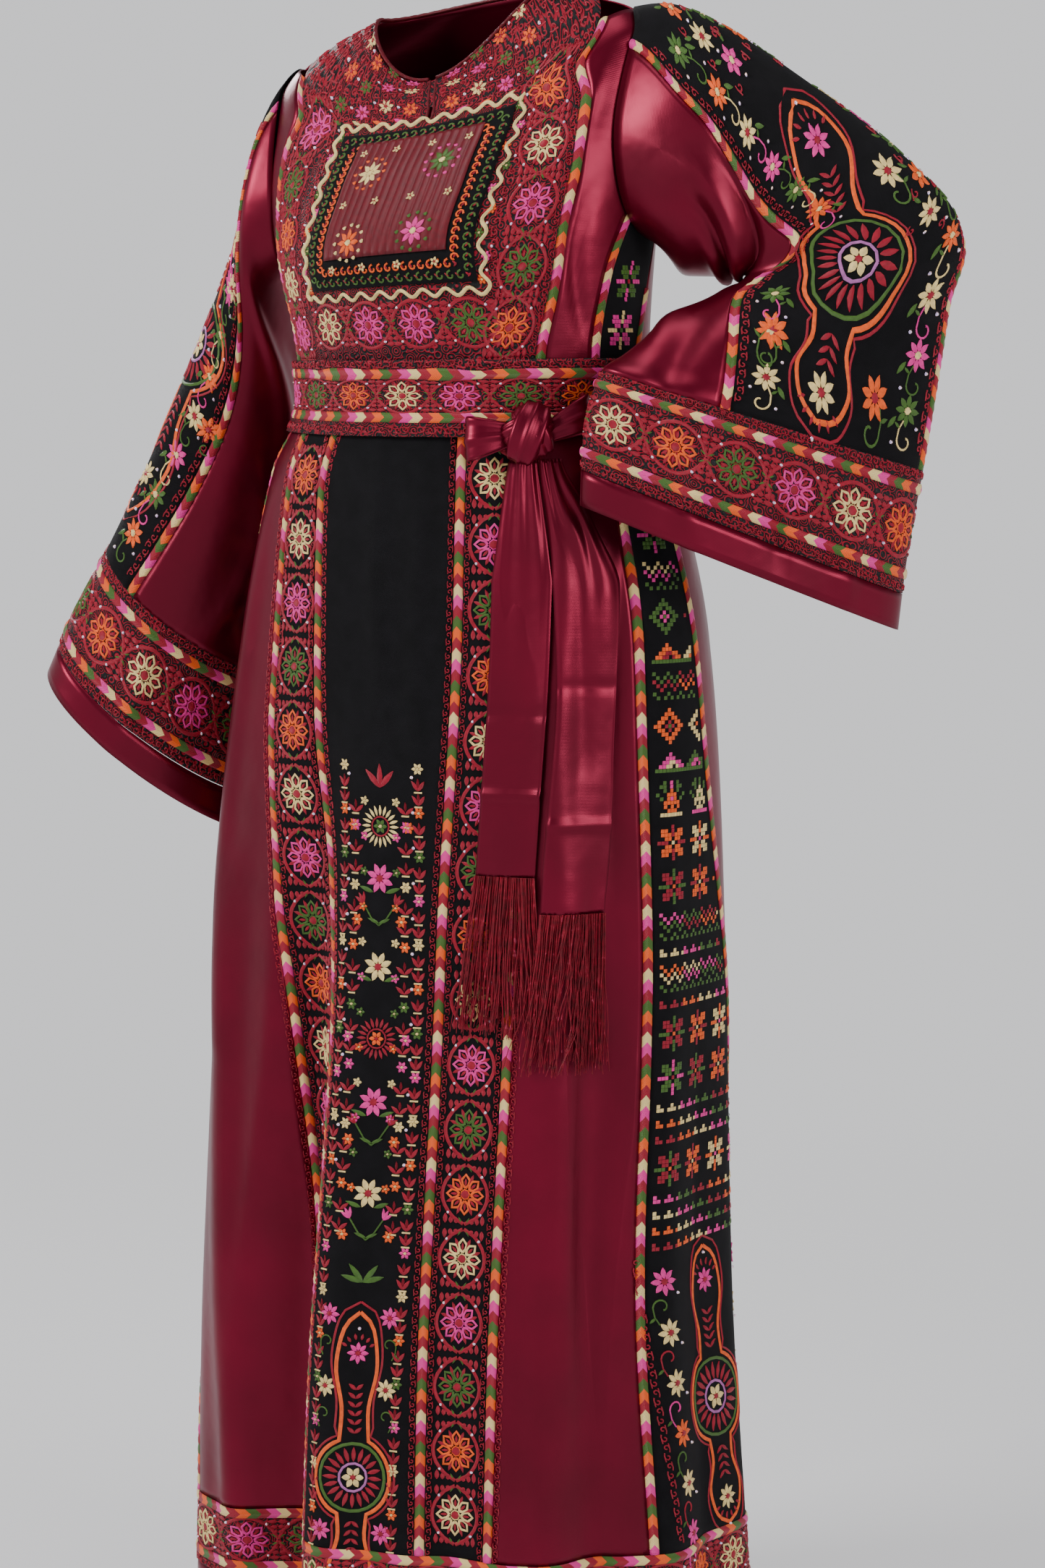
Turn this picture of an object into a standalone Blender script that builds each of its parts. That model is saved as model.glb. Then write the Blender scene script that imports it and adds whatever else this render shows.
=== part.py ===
"""Palestinian thobe dress: a long embroidered dress with its belt, in the pose it is worn in.

The dress faces -Y, its own left side is at +X, and the origin is at the neck, between the shoulders.
Body and skirt are one surface, read from the table BODY. Seams are told by their distance round that
surface from the centre front, with + towards the dress's left, and every piece is a wall on its own
stretch of the surface, with a seam gap to its neighbours. Each sleeve is a tube between two edges.
"""

import math

import bmesh
import bpy
import numpy as np

# Driving sizes in metres.
CLOTH = 0.0015
SEAM = 0.0003
BRAID = 0.0085
BRAID_THICK = 0.0034
BRAID_EASE, SLEEVE_BRAID_EASE = 0.0002, 0.0005
WAIST = -0.340
HEM = -1.437
HEM_BRAID_TOP = -1.3205
HEM_BRAID_LOW = -1.3685
NECK_CORD = -0.003
SLIT_HALF = 0.0016
SLIT_CORD = 0.0040
SLIT_END = -0.070
LIFT = 0.12
LIFT_FROM, LIFT_TO = -0.33, -0.12
OVERLAY = 0.0004
CHEST_THICK = 0.0012
CHEST_HALF, RIBS_HALF = 0.083, 0.060
CHEST_LOW, CHEST_TOP = -0.243, -0.082
RIBS, RIB_BASE, RIB_RAISED = 16, 0.0008, 0.0010
NECK_THICK = 0.0032
SIDE_TOP = -0.1965
BRAID_TOP = -0.0315
HEM_SCROLL = 0.008
BELT_COLUMNS, LOOP_COLUMNS, SIDE_COLUMNS, BACK_COLUMNS = 32, 12, 4, 12
ARMHOLE_BLEND = 0.13
SLEEVE_LENGTH = 0.60
BELT = {"low": -0.3685, "high": -0.3030, "low_braid": -0.3525, "high_braid": -0.3145, "out": 0.0052}
KNOT = {"level": -0.368, "across": 0.108, "out": 0.0183}
KNOT_SHAPE = {"wide": 0.019, "high": 0.023, "deep": 0.012, "groove": 0.12}
TAIL_TOP = -0.388
FRINGE = {"strands": 20, "strip": 0.003, "length": 0.135, "thick": 0.0012, "wave": 0.002}
COLLECTION = "palestinian_thobe_dress"
LOW_BODICE_LEVELS = [-0.305, -0.272, CHEST_LOW, -0.222]
CHEST_LEVELS = [-0.190, -0.157, -0.125, -0.096, CHEST_TOP]
SLIT_LEVELS = [-0.054, -0.040, -0.030, -0.016]
BODICE_LEVELS = [WAIST + SEAM / 2, *LOW_BODICE_LEVELS, SIDE_TOP, *CHEST_LEVELS]
BODICE_LEVELS += [SLIT_END, *SLIT_LEVELS, NECK_CORD]
SHOULDER_LEVELS = [level for level in BODICE_LEVELS if level < BRAID_TOP - 0.002] + [BRAID_TOP]
SKIRT_LEVELS = [HEM_BRAID_TOP + BRAID / 2 + SEAM / 2, -1.25, -1.18, -1.11, -1.04]
SKIRT_LEVELS += [-0.985, -0.945, -0.905, -0.87, -0.83, -0.76, -0.68, -0.58]
SKIRT_LEVELS += [-0.48, -0.41, -0.375, -0.356, WAIST - SEAM / 2]
SIDE_LEVELS = SKIRT_LEVELS[:-1] + [WAIST, *LOW_BODICE_LEVELS, SIDE_TOP]


class Table:
    """Rows of named columns, read smoothly between the rows by the first column."""

    def __init__(self, names, rows):
        self.names = names.split()
        self.rows = np.array(sorted(rows), float)

    def read(self, name, at):
        at = np.asarray(at, float)
        x = self.rows[:, 0]
        y = self.rows[:, self.names.index(name)]
        run = np.diff(x)
        rise = np.diff(y) / run
        slope = np.empty_like(y)
        slope[0], slope[-1] = rise[0], rise[-1]
        steady = rise[:-1] * rise[1:] > 0
        mean = 2 * rise[:-1] * rise[1:] / np.where(steady, rise[:-1] + rise[1:], 1)
        slope[1:-1] = np.where(steady, mean, 0)
        at = np.clip(at, x[0], x[-1])
        i = np.clip(np.searchsorted(x, at, side="right") - 1, 0, len(x) - 2)
        t = (at - x[i]) / run[i]
        from_value = (1 + 2 * t) * (1 - t) ** 2 * y[i] + t * (1 - t) ** 2 * run[i] * slope[i]
        to_value = t * t * (3 - 2 * t) * y[i + 1] + t * t * (t - 1) * run[i] * slope[i + 1]
        return from_value + to_value


# Half width, half depth to front and back, sideways shift, and each ring's height at front and back.
BODY = Table(
    "level wide front back shift front_level back_level",
    [
        (0.000, 0.078, 0.062, 0.052, 0.000, -0.066, 0.008),
        (-0.003, 0.083, 0.0635, 0.056, 0.000, -0.0705, 0.006),
        (-0.012, 0.112, 0.066, 0.062, 0.000, -0.075, -0.004),
        (-0.030, 0.158, 0.070, 0.074, 0.000, -0.081, -0.026),
        (-0.052, 0.177, 0.077, 0.090, 0.000, -0.096, -0.052),
        (-0.100, 0.182, 0.094, 0.102, 0.000, -0.122, -0.100),
        (-0.150, 0.179, 0.118, 0.110, 0.002, -0.156, -0.150),
        (-0.215, 0.170, 0.139, 0.108, 0.004, -0.215, -0.215),
        (-0.280, 0.161, 0.130, 0.103, 0.008, -0.280, -0.280),
        (-0.340, 0.158, 0.119, 0.102, 0.009, -0.340, -0.340),
        (-0.400, 0.186, 0.121, 0.115, 0.006, -0.400, -0.400),
        (-0.545, 0.219, 0.126, 0.150, 0.004, -0.545, -0.545),
        (-0.800, 0.237, 0.143, 0.178, -0.005, -0.800, -0.800),
        (-1.100, 0.241, 0.168, 0.196, -0.007, -1.100, -1.100),
        (-1.320, 0.246, 0.184, 0.206, -0.001, -1.320, -1.320),
        (-1.437, 0.249, 0.190, 0.210, 0.002, -1.437, -1.437),
    ],
)

# The large folds: place round the body in degrees at the waist and hem, top, depth at the hem, half width.
FOLDS = [
    {"waist": -3, "hem": -9, "top": -0.70, "depth": 0.016, "half": 10},
    {"waist": -48, "hem": -58, "top": -0.50, "depth": 0.012, "half": 15},
    {"waist": 17, "hem": 18, "top": -0.48, "depth": -0.010, "half": 10},
    {"waist": 34, "hem": 36, "top": -0.42, "depth": 0.014, "half": 12},
    {"waist": 50, "hem": 53, "top": -0.50, "depth": -0.014, "half": 11},
    {"waist": 68, "hem": 71, "top": -0.45, "depth": 0.010, "half": 11},
    {"waist": 86, "hem": 88, "top": -0.60, "depth": -0.008, "half": 10},
    {"waist": 104, "hem": 106, "top": -0.55, "depth": 0.012, "half": 12},
    {"waist": 124, "hem": 125, "top": -0.48, "depth": -0.016, "half": 12},
    {"waist": 145, "hem": 143, "top": -0.42, "depth": 0.022, "half": 13},
    {"waist": 167, "hem": 165, "top": -0.50, "depth": -0.018, "half": 12},
    {"waist": -172, "hem": -170, "top": -0.44, "depth": 0.020, "half": 13},
    {"waist": -150, "hem": -149, "top": -0.52, "depth": -0.016, "half": 12},
    {"waist": -129, "hem": -128, "top": -0.46, "depth": 0.016, "half": 12},
    {"waist": -106, "hem": -107, "top": -0.58, "depth": -0.012, "half": 12},
    {"waist": -84, "hem": -86, "top": -0.50, "depth": 0.010, "half": 12},
]

# The one deep fold, which swallows the right band low down: its place, depth and half width in degrees.
DEEP_FOLD = Table(
    "level place depth half",
    [
        (-0.560, -19.0, 0.000, 12.0),
        (-0.700, -19.0, -0.008, 12.0),
        (-0.870, -19.5, -0.026, 12.0),
        (-1.050, -23.0, -0.046, 14.0),
        (-1.250, -27.0, -0.056, 16.0),
        (-1.437, -29.0, -0.058, 17.0),
    ],
)

# Distance in metres from the centre front to the middle of each seam's braid, by level.
SKIRT_SEAMS = Table(
    "level right_outer right_inner left_inner left_outer",
    [
        (-0.340, -0.118, -0.070, 0.052, 0.104),
        (-0.420, -0.137, -0.088, 0.054, 0.114),
        (-0.600, -0.141, -0.083, 0.055, 0.119),
        (-0.750, -0.122, -0.060, 0.056, 0.120),
        (-0.900, -0.114, -0.052, 0.057, 0.121),
        (-1.050, -0.117, -0.055, 0.056, 0.120),
        (-1.200, -0.127, -0.065, 0.054, 0.118),
        (-1.437, -0.141, -0.079, 0.050, 0.112),
    ],
)

# The same for the bodice, with the middle of its front, which leans with the raised shoulder.
BODICE_SEAMS = Table(
    "level right_braid middle left_braid",
    [
        (-0.340, -0.142, -0.002, 0.112),
        (-0.300, -0.152, -0.004, 0.120),
        (-0.220, -0.164, -0.008, 0.147),
        (-0.160, -0.164, 0.002, 0.155),
        (-0.100, -0.152, 0.010, 0.156),
        (-0.060, -0.136, 0.011, 0.148),
        (-0.036, -0.150, 0.008, 0.166),
        (0.000, -0.180, 0.005, 0.190),
    ],
)

# The side panels' front and back edges in degrees from the centre front, for the left and right.
SIDE_PANEL = Table(
    "level left_front left_back right_front right_back",
    [
        (-0.196, 78.0, 102.0, 78.0, 102.0),
        (-0.240, 70.0, 94.0, 72.0, 94.0),
        (-0.300, 65.0, 87.0, 70.0, 88.0),
        (-0.360, 64.0, 84.0, 70.0, 88.0),
        (-0.600, 62.0, 90.0, 76.0, 98.0),
        (-0.830, 64.0, 104.0, 77.0, 108.0),
        (-1.050, 63.0, 117.0, 72.0, 118.0),
        (-1.300, 65.0, 130.0, 58.0, 130.0),
        (-1.437, 66.0, 134.0, 57.0, 134.0),
    ],
)

# The armhole, an oval in level and turn. The sleeve's own edge lies a little outside it.
ARMHOLE = {"middle": -0.123, "half": 0.086, "spread": 23.0}
SLEEVE_OVER = {"half": 0.004, "spread": 1.6, "out": 0.0036, "puff": 0.04}

# Each sleeve lies between its top edge and its underarm edge, with half its depth at the middle. The
# last two columns are the black panel's edges: distances round from the top edge, + to the front.
SLEEVE_COLUMNS = "t top_x top_y top_z low_x low_y low_z deep panel_front panel_back"
LEFT_SLEEVE = Table(
    SLEEVE_COLUMNS,
    [
        (0.000, 0.170, 0.000, -0.010, 0.172, 0.004, -0.196, 0.070, 0.045, -0.045),
        (0.100, 0.211, 0.020, -0.018, 0.200, 0.010, -0.232, 0.070, 0.112, -0.055),
        (0.220, 0.298, 0.050, -0.074, 0.238, 0.012, -0.233, 0.062, 0.142, -0.070),
        (0.360, 0.375, 0.075, -0.136, 0.262, 0.003, -0.2305, 0.055, 0.146, -0.050),
        (0.460, 0.417, 0.090, -0.187, 0.2695, -0.003, -0.235, 0.050, 0.183, -0.010),
        (0.520, 0.423, 0.090, -0.214, 0.266, -0.008, -0.241, 0.048, 0.201, 0.004),
        (0.600, 0.411, 0.090, -0.256, 0.250, -0.018, -0.2515, 0.046, 0.203, 0.010),
        (0.700, 0.404, 0.087, -0.310, 0.2215, -0.053, -0.273, 0.045, 0.203, 0.012),
        (0.800, 0.397, 0.083, -0.366, 0.199, -0.089, -0.301, 0.044, 0.205, 0.014),
        (0.860, 0.393, 0.080, -0.395, 0.188, -0.106, -0.313, 0.044, 0.207, 0.014),
        (0.950, 0.380, 0.075, -0.4795, 0.175, -0.1155, -0.3755, 0.043, 0.207, 0.014),
        (1.000, 0.374, 0.075, -0.5305, 0.173, -0.1155, -0.4235, 0.043, 0.207, 0.014),
    ],
)
RIGHT_SLEEVE = Table(
    SLEEVE_COLUMNS,
    [
        (0.000, -0.168, 0.000, -0.058, -0.175, 0.004, -0.215, 0.065, 0.045, -0.045),
        (0.100, -0.198, -0.004, -0.128, -0.188, 0.022, -0.248, 0.062, 0.062, -0.060),
        (0.250, -0.233, -0.010, -0.214, -0.197, 0.062, -0.308, 0.060, 0.072, -0.075),
        (0.420, -0.266, -0.018, -0.300, -0.210, 0.090, -0.378, 0.060, 0.067, -0.080),
        (0.600, -0.299, -0.030, -0.383, -0.227, 0.102, -0.458, 0.062, 0.058, -0.080),
        (0.750, -0.328, -0.035, -0.439, -0.240, 0.102, -0.530, 0.066, 0.055, -0.080),
        (0.860, -0.350, -0.038, -0.478, -0.249, 0.099, -0.578, 0.069, 0.053, -0.080),
        (0.950, -0.389, -0.046, -0.545, -0.255, 0.095, -0.676, 0.071, 0.053, -0.080),
        (1.000, -0.409, -0.050, -0.588, -0.256, 0.093, -0.735, 0.072, 0.053, -0.080),
    ],
)
SLEEVE_STATIONS = {
    "left": [0.0, 0.025, 0.05, 0.10, 0.16, 0.22, 0.29, 0.36, 0.42, 0.47, 0.52, 0.57, 0.62, 0.68, 0.74, 0.80],
    "right": [0.0, 0.025, 0.05, 0.10, 0.135, 0.17, 0.22, 0.28, 0.35, 0.44, 0.54, 0.65, 0.76],
}
SLEEVE_FACING = {"left": (0.469, -0.883, 0.0), "right": (0.0, -1.0, 0.0)}
SLEEVE_TABLE = {"left": LEFT_SLEEVE, "right": RIGHT_SLEEVE}
CUFF = {"band": 0.862, "upper": (0.876, 0.889), "lower": (0.948, 0.960), "border": 0.970}
SIDES = {"left": 1, "right": -1}


TAILS = [
    {
        "place": Table("level across", [(-0.388, 0.106), (-0.50, 0.111), (-0.62, 0.112), (-0.90, 0.112)]),
        "low": -0.735,
        "half": 0.026,
        "pinch": 0.45,
        "spread": 0.012,
        "out": 0.0044,
        "lift": 0.0004,
    },
    {
        "place": Table("level across", [(-0.388, 0.128), (-0.50, 0.164), (-0.62, 0.170), (-0.90, 0.172)]),
        "low": -0.765,
        "half": 0.026,
        "pinch": 0.35,
        "spread": 0.008,
        "out": 0.0066,
        "lift": 0.0010,
    },
]
COLOURS = {
    "satin": ((0.16, 0.006, 0.025), 0.35),
    "black": ((0.006, 0.006, 0.008), 0.8),
    "embroidery": ((0.30, 0.012, 0.05), 0.6),
    "braid": ((0.45, 0.12, 0.06), 0.55),
    "fringe": ((0.25, 0.015, 0.05), 0.4),
}


def unit(v):
    return v / np.linalg.norm(v, axis=-1, keepdims=True)


def ramp(value, low, high):
    t = np.clip((value - low) / (high - low), 0, 1)
    return t * t * (3 - 2 * t)


def bell(degrees, middle, half):
    away = (degrees - middle + 180) % 360 - 180
    return np.cos(np.clip(away / half, -1, 1) * math.pi / 2) ** 2


def fold_out(level, turn):
    """How far the folds push the cloth out, at levels in metres and turns in radians."""
    degrees = np.degrees(turn)
    deep = DEEP_FOLD.read("depth", level)
    total = deep * bell(degrees, DEEP_FOLD.read("place", level), DEEP_FOLD.read("half", level))
    for fold in FOLDS:
        grown = np.clip((fold["top"] - level) / (fold["top"] - HEM), 0, 1.05)
        middle = fold["waist"] + (fold["hem"] - fold["waist"]) * grown
        total = total + fold["depth"] * grown**0.8 * bell(degrees, middle, fold["half"])
    return total


def body_points(level, turn):
    """Points of the cloth's inner face, at levels in metres and turns in radians from the centre front."""
    level, turn = np.broadcast_arrays(np.asarray(level, float), np.asarray(turn, float))
    sine, cosine = np.sin(turn), np.cos(turn)
    depth = np.where(cosine > 0, BODY.read("front", level), BODY.read("back", level))
    wide = BODY.read("wide", level)
    end = np.where(cosine > 0, BODY.read("front_level", level), BODY.read("back_level", level))
    push = fold_out(level, turn)
    way = unit(np.stack([sine * depth, -cosine * wide], -1))
    x = wide * sine + BODY.read("shift", level) + push * way[..., 0]
    y = -depth * cosine + push * way[..., 1]
    z = level * sine**2 + end * cosine**2 + LIFT * x * ramp(level, LIFT_FROM, LIFT_TO)
    return np.stack([x, y, z], -1)


def body_frame(level, turn):
    """Points and outward normals of the body's surface."""
    small_turn, small_level = 1e-3, 4e-4
    inside = np.clip(level, HEM + small_level, -small_level)
    along = body_points(inside, turn + small_turn) - body_points(inside, turn - small_turn)
    up = body_points(inside + small_level, turn) - body_points(inside - small_level, turn)
    return body_points(level, turn), unit(np.cross(along, up))


def turn_at(level, across):
    """The turn in radians at a distance in metres round the surface from the centre front."""
    turns = np.linspace(-math.pi, math.pi, 1441)
    ring = body_points(level, turns)
    run = np.concatenate([[0], np.cumsum(np.linalg.norm(np.diff(ring, axis=0), axis=1))])
    run -= run[len(turns) // 2]
    return float(np.interp(across, run, turns))


def moved(level, turn, metres):
    """A turn moved round the surface by a small distance."""
    small = 1e-3
    step = body_points(level, turn + small) - body_points(level, turn - small)
    return turn + metres * 2 * small / float(np.linalg.norm(step))


def armhole_reach(level):
    """How far the armhole reaches from the side at a level, in radians."""
    t = np.clip((level - ARMHOLE["middle"]) / ARMHOLE["half"], -1, 1)
    return math.radians(ARMHOLE["spread"]) * math.sqrt(1 - t * t)


def seam(table, column, shift=0.0):
    """An edge on the body: a named seam moved round by shift, and never past the shoulder seam."""

    def edge(level):
        turn = turn_at(level, float(table.read(column, level)) + shift)
        return max(-math.pi / 2, min(math.pi / 2, turn))

    return edge


def side_seam(side, which, shift=0.0):
    """An edge of a side panel, moved round by shift towards the back."""

    def edge(level):
        turn = SIDES[side] * math.radians(float(SIDE_PANEL.read(f"{side}_{which}", level)))
        return moved(level, turn, SIDES[side] * shift)

    return edge


def armhole_or_side(side, which, shift=0.0):
    """The outer edge of the bodice's front or back: side panel, armhole and shoulder seam in turn."""
    below = side_seam(side, which, shift)
    way = -1 if which == "front" else 1

    def edge(level):
        if level <= SIDE_TOP:
            return below(level)
        return SIDES[side] * (math.pi / 2 + way * armhole_reach(level))

    return edge


def material(name, colour, roughness):
    made = bpy.data.materials.new(name)
    made.use_nodes = True
    shader = made.node_tree.nodes["Principled BSDF"]
    shader.inputs["Base Color"].default_value = (*colour, 1)
    shader.inputs["Roughness"].default_value = roughness
    made.diffuse_color = (*colour, 1)
    return made


def add_object(name, mesh, stuff):
    """Turns a closed bmesh into an object of the dress, with its faces pointing out."""
    bmesh.ops.recalc_face_normals(mesh, faces=mesh.faces)
    if mesh.calc_volume(signed=True) < 0:
        bmesh.ops.reverse_faces(mesh, faces=mesh.faces)
    data = bpy.data.meshes.new(name)
    mesh.to_mesh(data)
    mesh.free()
    data.materials.append(bpy.data.materials[stuff])
    made = bpy.data.objects.new(name, data)
    bpy.data.collections[COLLECTION].objects.link(made)
    return made


def wall(name, outer, inner, stuff, mask=None, ring=False):
    """A closed wall between two grids of points. mask says which cells are there, and ring joins the ends.

    Every cell is split the same way, so that neighbours and overlays stay parallel.
    """
    rows, columns = outer.shape[:2]
    cells = np.ones((rows - 1, columns if ring else columns - 1), bool) if mask is None else mask
    mesh = bmesh.new()
    made = {}

    def corner(face, i, j):
        key = (face, i, j % columns)
        if key not in made:
            grid = outer if face else inner
            made[key] = mesh.verts.new(grid[i, j % columns])
        return made[key]

    def there(i, j):
        if ring:
            j %= cells.shape[1]
        return 0 <= i < cells.shape[0] and 0 <= j < cells.shape[1] and cells[i, j]

    for i, j in np.argwhere(cells):
        loop = [(i, j), (i, j + 1), (i + 1, j + 1), (i + 1, j)]
        for half in (loop[:3], [loop[2], loop[3], loop[0]]):
            mesh.faces.new([corner(1, *p) for p in half])
            mesh.faces.new([corner(0, *p) for p in reversed(half)])
        beside = [(i - 1, j), (i, j + 1), (i + 1, j), (i, j - 1)]
        for k, other in enumerate(beside):
            if not there(*other):
                a, b = loop[k], loop[(k + 1) % 4]
                if k % 2 == 0:
                    mesh.faces.new([corner(1, *b), corner(1, *a), corner(0, *a), corner(0, *b)])
                    continue
                low, high = sorted((a, b))
                mesh.faces.new([corner(1, *low), corner(1, *high), corner(0, *high)])
                mesh.faces.new([corner(1, *low), corner(0, *high), corner(0, *low)])
    return add_object(name, mesh, stuff)


def body_grid(levels, turns, out):
    """Points moved out from the body, one row for each level."""
    points, normals = body_frame(np.asarray(levels, float), np.asarray(turns, float))
    return points + normals * np.asarray(out, float)[..., None]


def panel_turns(levels, left, right, columns, gap=SEAM / 2):
    """Turns of a panel's points, row by row, with half a seam gap at each edge."""
    rows = []
    for level in levels:
        low = moved(level, left(level), gap)
        high = moved(level, right(level), -gap)
        rows.append(np.linspace(low, high, columns + 1))
    return np.array(rows)


def body_wall(name, levels, left, right, columns, stuff, thick=CLOTH):
    """A wall on the body between two edges, each a function from a level to a turn.

    thick is one thickness, or one for each level.
    """
    gap = SEAM / 2 + (BRAID_EASE if stuff == "braid" else 0.0)
    turns = panel_turns(levels, left, right, columns, gap)
    heights = np.broadcast_to(np.asarray(levels, float)[:, None], turns.shape)
    thicks = np.broadcast_to(np.reshape(thick, (-1, 1)), turns.shape)
    return wall(name, body_grid(heights, turns, thicks), body_grid(heights, turns, 0 * thicks), stuff)


def body_ring(name, rows, turns, stuff, out=0.0, thick=CLOTH):
    """A closed ring round the body. Each row gives a level and how far its outer face is raised."""
    levels = np.array([row[0] for row in rows])[:, None] + 0 * turns
    raised = np.array([row[1] for row in rows])[:, None] + 0 * turns
    turns = turns + 0 * levels
    outer = body_grid(levels, turns, out + thick + raised)
    return wall(name, outer, body_grid(levels, turns, out + 0 * levels), stuff, ring=True)


def braid_rows(middle):
    """Rows of a braid that is raised in its band's outer face."""
    return [(middle - BRAID / 2, 0.0), (middle, BRAID_THICK - CLOTH), (middle + BRAID / 2, 0.0)]


def skirt_pieces():
    """The skirt's pieces in order round the body: name, both edges, columns, cloth and thickness."""
    half = BRAID / 2

    def braid(column):
        return seam(SKIRT_SEAMS, column, -half), seam(SKIRT_SEAMS, column, half)

    def right_back(level):
        return side_seam("right", "back")(level) + 2 * math.pi

    side_right = side_seam("right", "front", half), side_seam("right", "front", -half)
    side_left = side_seam("left", "front", -half), side_seam("left", "front", half)
    edges = [side_right, *map(braid, ("right_outer", "right_inner", "left_inner", "left_outer")), side_left]
    names = ["side_braid_right", "skirt_braid_right_outer", "skirt_braid_right_inner"]
    names += ["skirt_braid_left_inner", "skirt_braid_left_outer", "side_braid_left"]
    between = [
        ("skirt_gore_right", 7, "satin"),
        ("skirt_band_right", 4, "embroidery"),
        ("skirt_centre_front", 6, "black"),
        ("skirt_band_left", 2, "embroidery"),
        ("skirt_gore_left", 6, "satin"),
    ]
    pieces = [("side_panel_right", side_seam("right", "back"), side_right[0], SIDE_COLUMNS, "black", CLOTH)]
    for k, (name, (low, high)) in enumerate(zip(names, edges)):
        pieces.append((name, low, high, 1, "braid", BRAID_THICK))
        if k < len(between):
            name, columns, stuff = between[k]
            pieces.append((name, high, edges[k + 1][0], columns, stuff, CLOTH))
    pieces.append(("side_panel_left", side_left[1], side_seam("left", "back"), SIDE_COLUMNS, "black", CLOTH))
    pieces.append(("skirt_back", side_seam("left", "back"), right_back, 12, "satin", CLOTH))
    return pieces


def skirt():
    """The black centre front, a medallion band and a satin gore on each side, side panels and the back."""
    for name, low, high, columns, stuff, thick in skirt_pieces():
        if name.startswith("side_panel"):
            side_panel(name, low, high)
        elif name.startswith("side_braid"):
            thinning = [thick] * (len(SIDE_LEVELS) - 1) + [CLOTH]
            body_wall(name, SIDE_LEVELS, low, high, columns, stuff, thick=thinning)
        else:
            body_wall(name, SKIRT_LEVELS, low, high, columns, stuff, thick=thick)


def side_panel(name, low, high):
    """A black panel from the hem band up to the armhole, whose oval its top edge follows."""
    turns = panel_turns(SIDE_LEVELS, low, high, SIDE_COLUMNS)
    heights = np.broadcast_to(np.array(SIDE_LEVELS)[:, None], turns.shape).copy()
    across = np.clip((np.abs(turns[-1]) - math.pi / 2) / math.radians(ARMHOLE["spread"]), -1, 1)
    heights[-1] = ARMHOLE["middle"] - ARMHOLE["half"] * np.sqrt(1 - across**2)
    outs = np.zeros(turns.shape)
    wall(name, body_grid(heights, turns, outs + CLOTH), body_grid(heights, turns, outs), "black")


def bodice_columns(level, low, high):
    """Turns across the bodice front at a level: the edges, the chest panel's columns and the slit."""
    middle = float(BODICE_SEAMS.read("middle", level))
    offsets = [CHEST_HALF, RIBS_HALF, RIBS_HALF / 2, SLIT_CORD + SEAM / 2]
    near = [turn_at(level, middle - o) for o in offsets]
    near += [turn_at(level, middle + o) for o in reversed(offsets)]
    start = moved(level, low(level), SEAM / 2)
    end = moved(level, high(level), -SEAM / 2)
    return np.array([start, (start + near[0]) / 2, *near, (near[-1] + end) / 2, end])


def bodice():
    """The embroidered front with its slit, its two braids, the satin sides and the satin back."""
    half = BRAID / 2
    low, high = seam(BODICE_SEAMS, "right_braid", half), seam(BODICE_SEAMS, "left_braid", -half)
    turns = np.array([bodice_columns(level, low, high) for level in BODICE_LEVELS])
    levels = np.broadcast_to(np.array(BODICE_LEVELS)[:, None], turns.shape)
    mask = np.ones((turns.shape[0] - 1, turns.shape[1] - 1), bool)
    slit_cell = turns.shape[1] // 2 - 1
    for i, level in enumerate(BODICE_LEVELS[:-1]):
        if level >= SLIT_END:
            mask[i, slit_cell] = False
    outs = np.zeros(turns.shape)
    outer = body_grid(levels, turns, outs + CLOTH)
    wall("bodice_front", outer, body_grid(levels, turns, outs), "embroidery", mask)

    rows = [i for i, level in enumerate(BODICE_LEVELS) if CHEST_LOW <= level <= CHEST_TOP]
    square = np.ix_(rows, range(2, turns.shape[1] - 2))
    panel = body_grid(levels[square], turns[square], outs[square] + CLOTH + OVERLAY)
    raised = body_grid(levels[square], turns[square], outs[square] + CLOTH + OVERLAY + CHEST_THICK)
    wall("chest_panel", raised, panel, "black")
    chest_ribs(levels[square], turns[square])

    for column, name in (("right_braid", "bodice_braid_right"), ("left_braid", "bodice_braid_left")):
        edges = seam(BODICE_SEAMS, column, -half), seam(BODICE_SEAMS, column, half)
        body_wall(name, SHOULDER_LEVELS, *edges, 1, "braid", thick=BRAID_THICK)
    body_wall(
        "bodice_side_left",
        SHOULDER_LEVELS,
        seam(BODICE_SEAMS, "left_braid", half),
        armhole_or_side("left", "front", -half),
        3,
        "satin",
    )
    body_wall(
        "bodice_side_right",
        SHOULDER_LEVELS,
        armhole_or_side("right", "front", -half),
        seam(BODICE_SEAMS, "right_braid", -half),
        3,
        "satin",
    )

    def round_the_back(level):
        return armhole_or_side("right", "back")(level) + 2 * math.pi

    levels = [level for level in BODICE_LEVELS if level not in (CHEST_TOP, SLIT_END)]
    body_wall("bodice_back", levels, armhole_or_side("left", "back"), round_the_back, BACK_COLUMNS, "satin")


def chest_ribs(levels, turns):
    """The ribbed square on the chest panel: upright ribs raised over a plain inside."""
    rows = slice(1, -1)
    base = body_grid(levels, turns, np.full(turns.shape, CLOTH + 2 * OVERLAY + CHEST_THICK))[rows, 1:-1]
    a_metre_out = np.full(turns.shape, CLOTH + 2 * OVERLAY + CHEST_THICK + 1)
    out = body_grid(levels, turns, a_metre_out)[rows, 1:-1] - base
    near_slit = SLIT_CORD / RIBS_HALF
    spots = 1 + np.array([-1, -0.5, -near_slit, near_slit, 0.5, 1])
    wanted = np.linspace(0, 2, 2 * RIBS + 1)
    heights = np.where(np.arange(2 * RIBS + 1) % 2, RIB_RAISED, 0.0) + RIB_BASE

    def across(grid):
        spread = [[np.interp(wanted, spots, row[:, k]) for k in range(3)] for row in grid]
        return np.stack(spread).transpose(0, 2, 1)

    inner = across(base)
    wall("chest_ribs", inner + across(out) * heights[None, :, None], inner, "embroidery")


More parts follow.
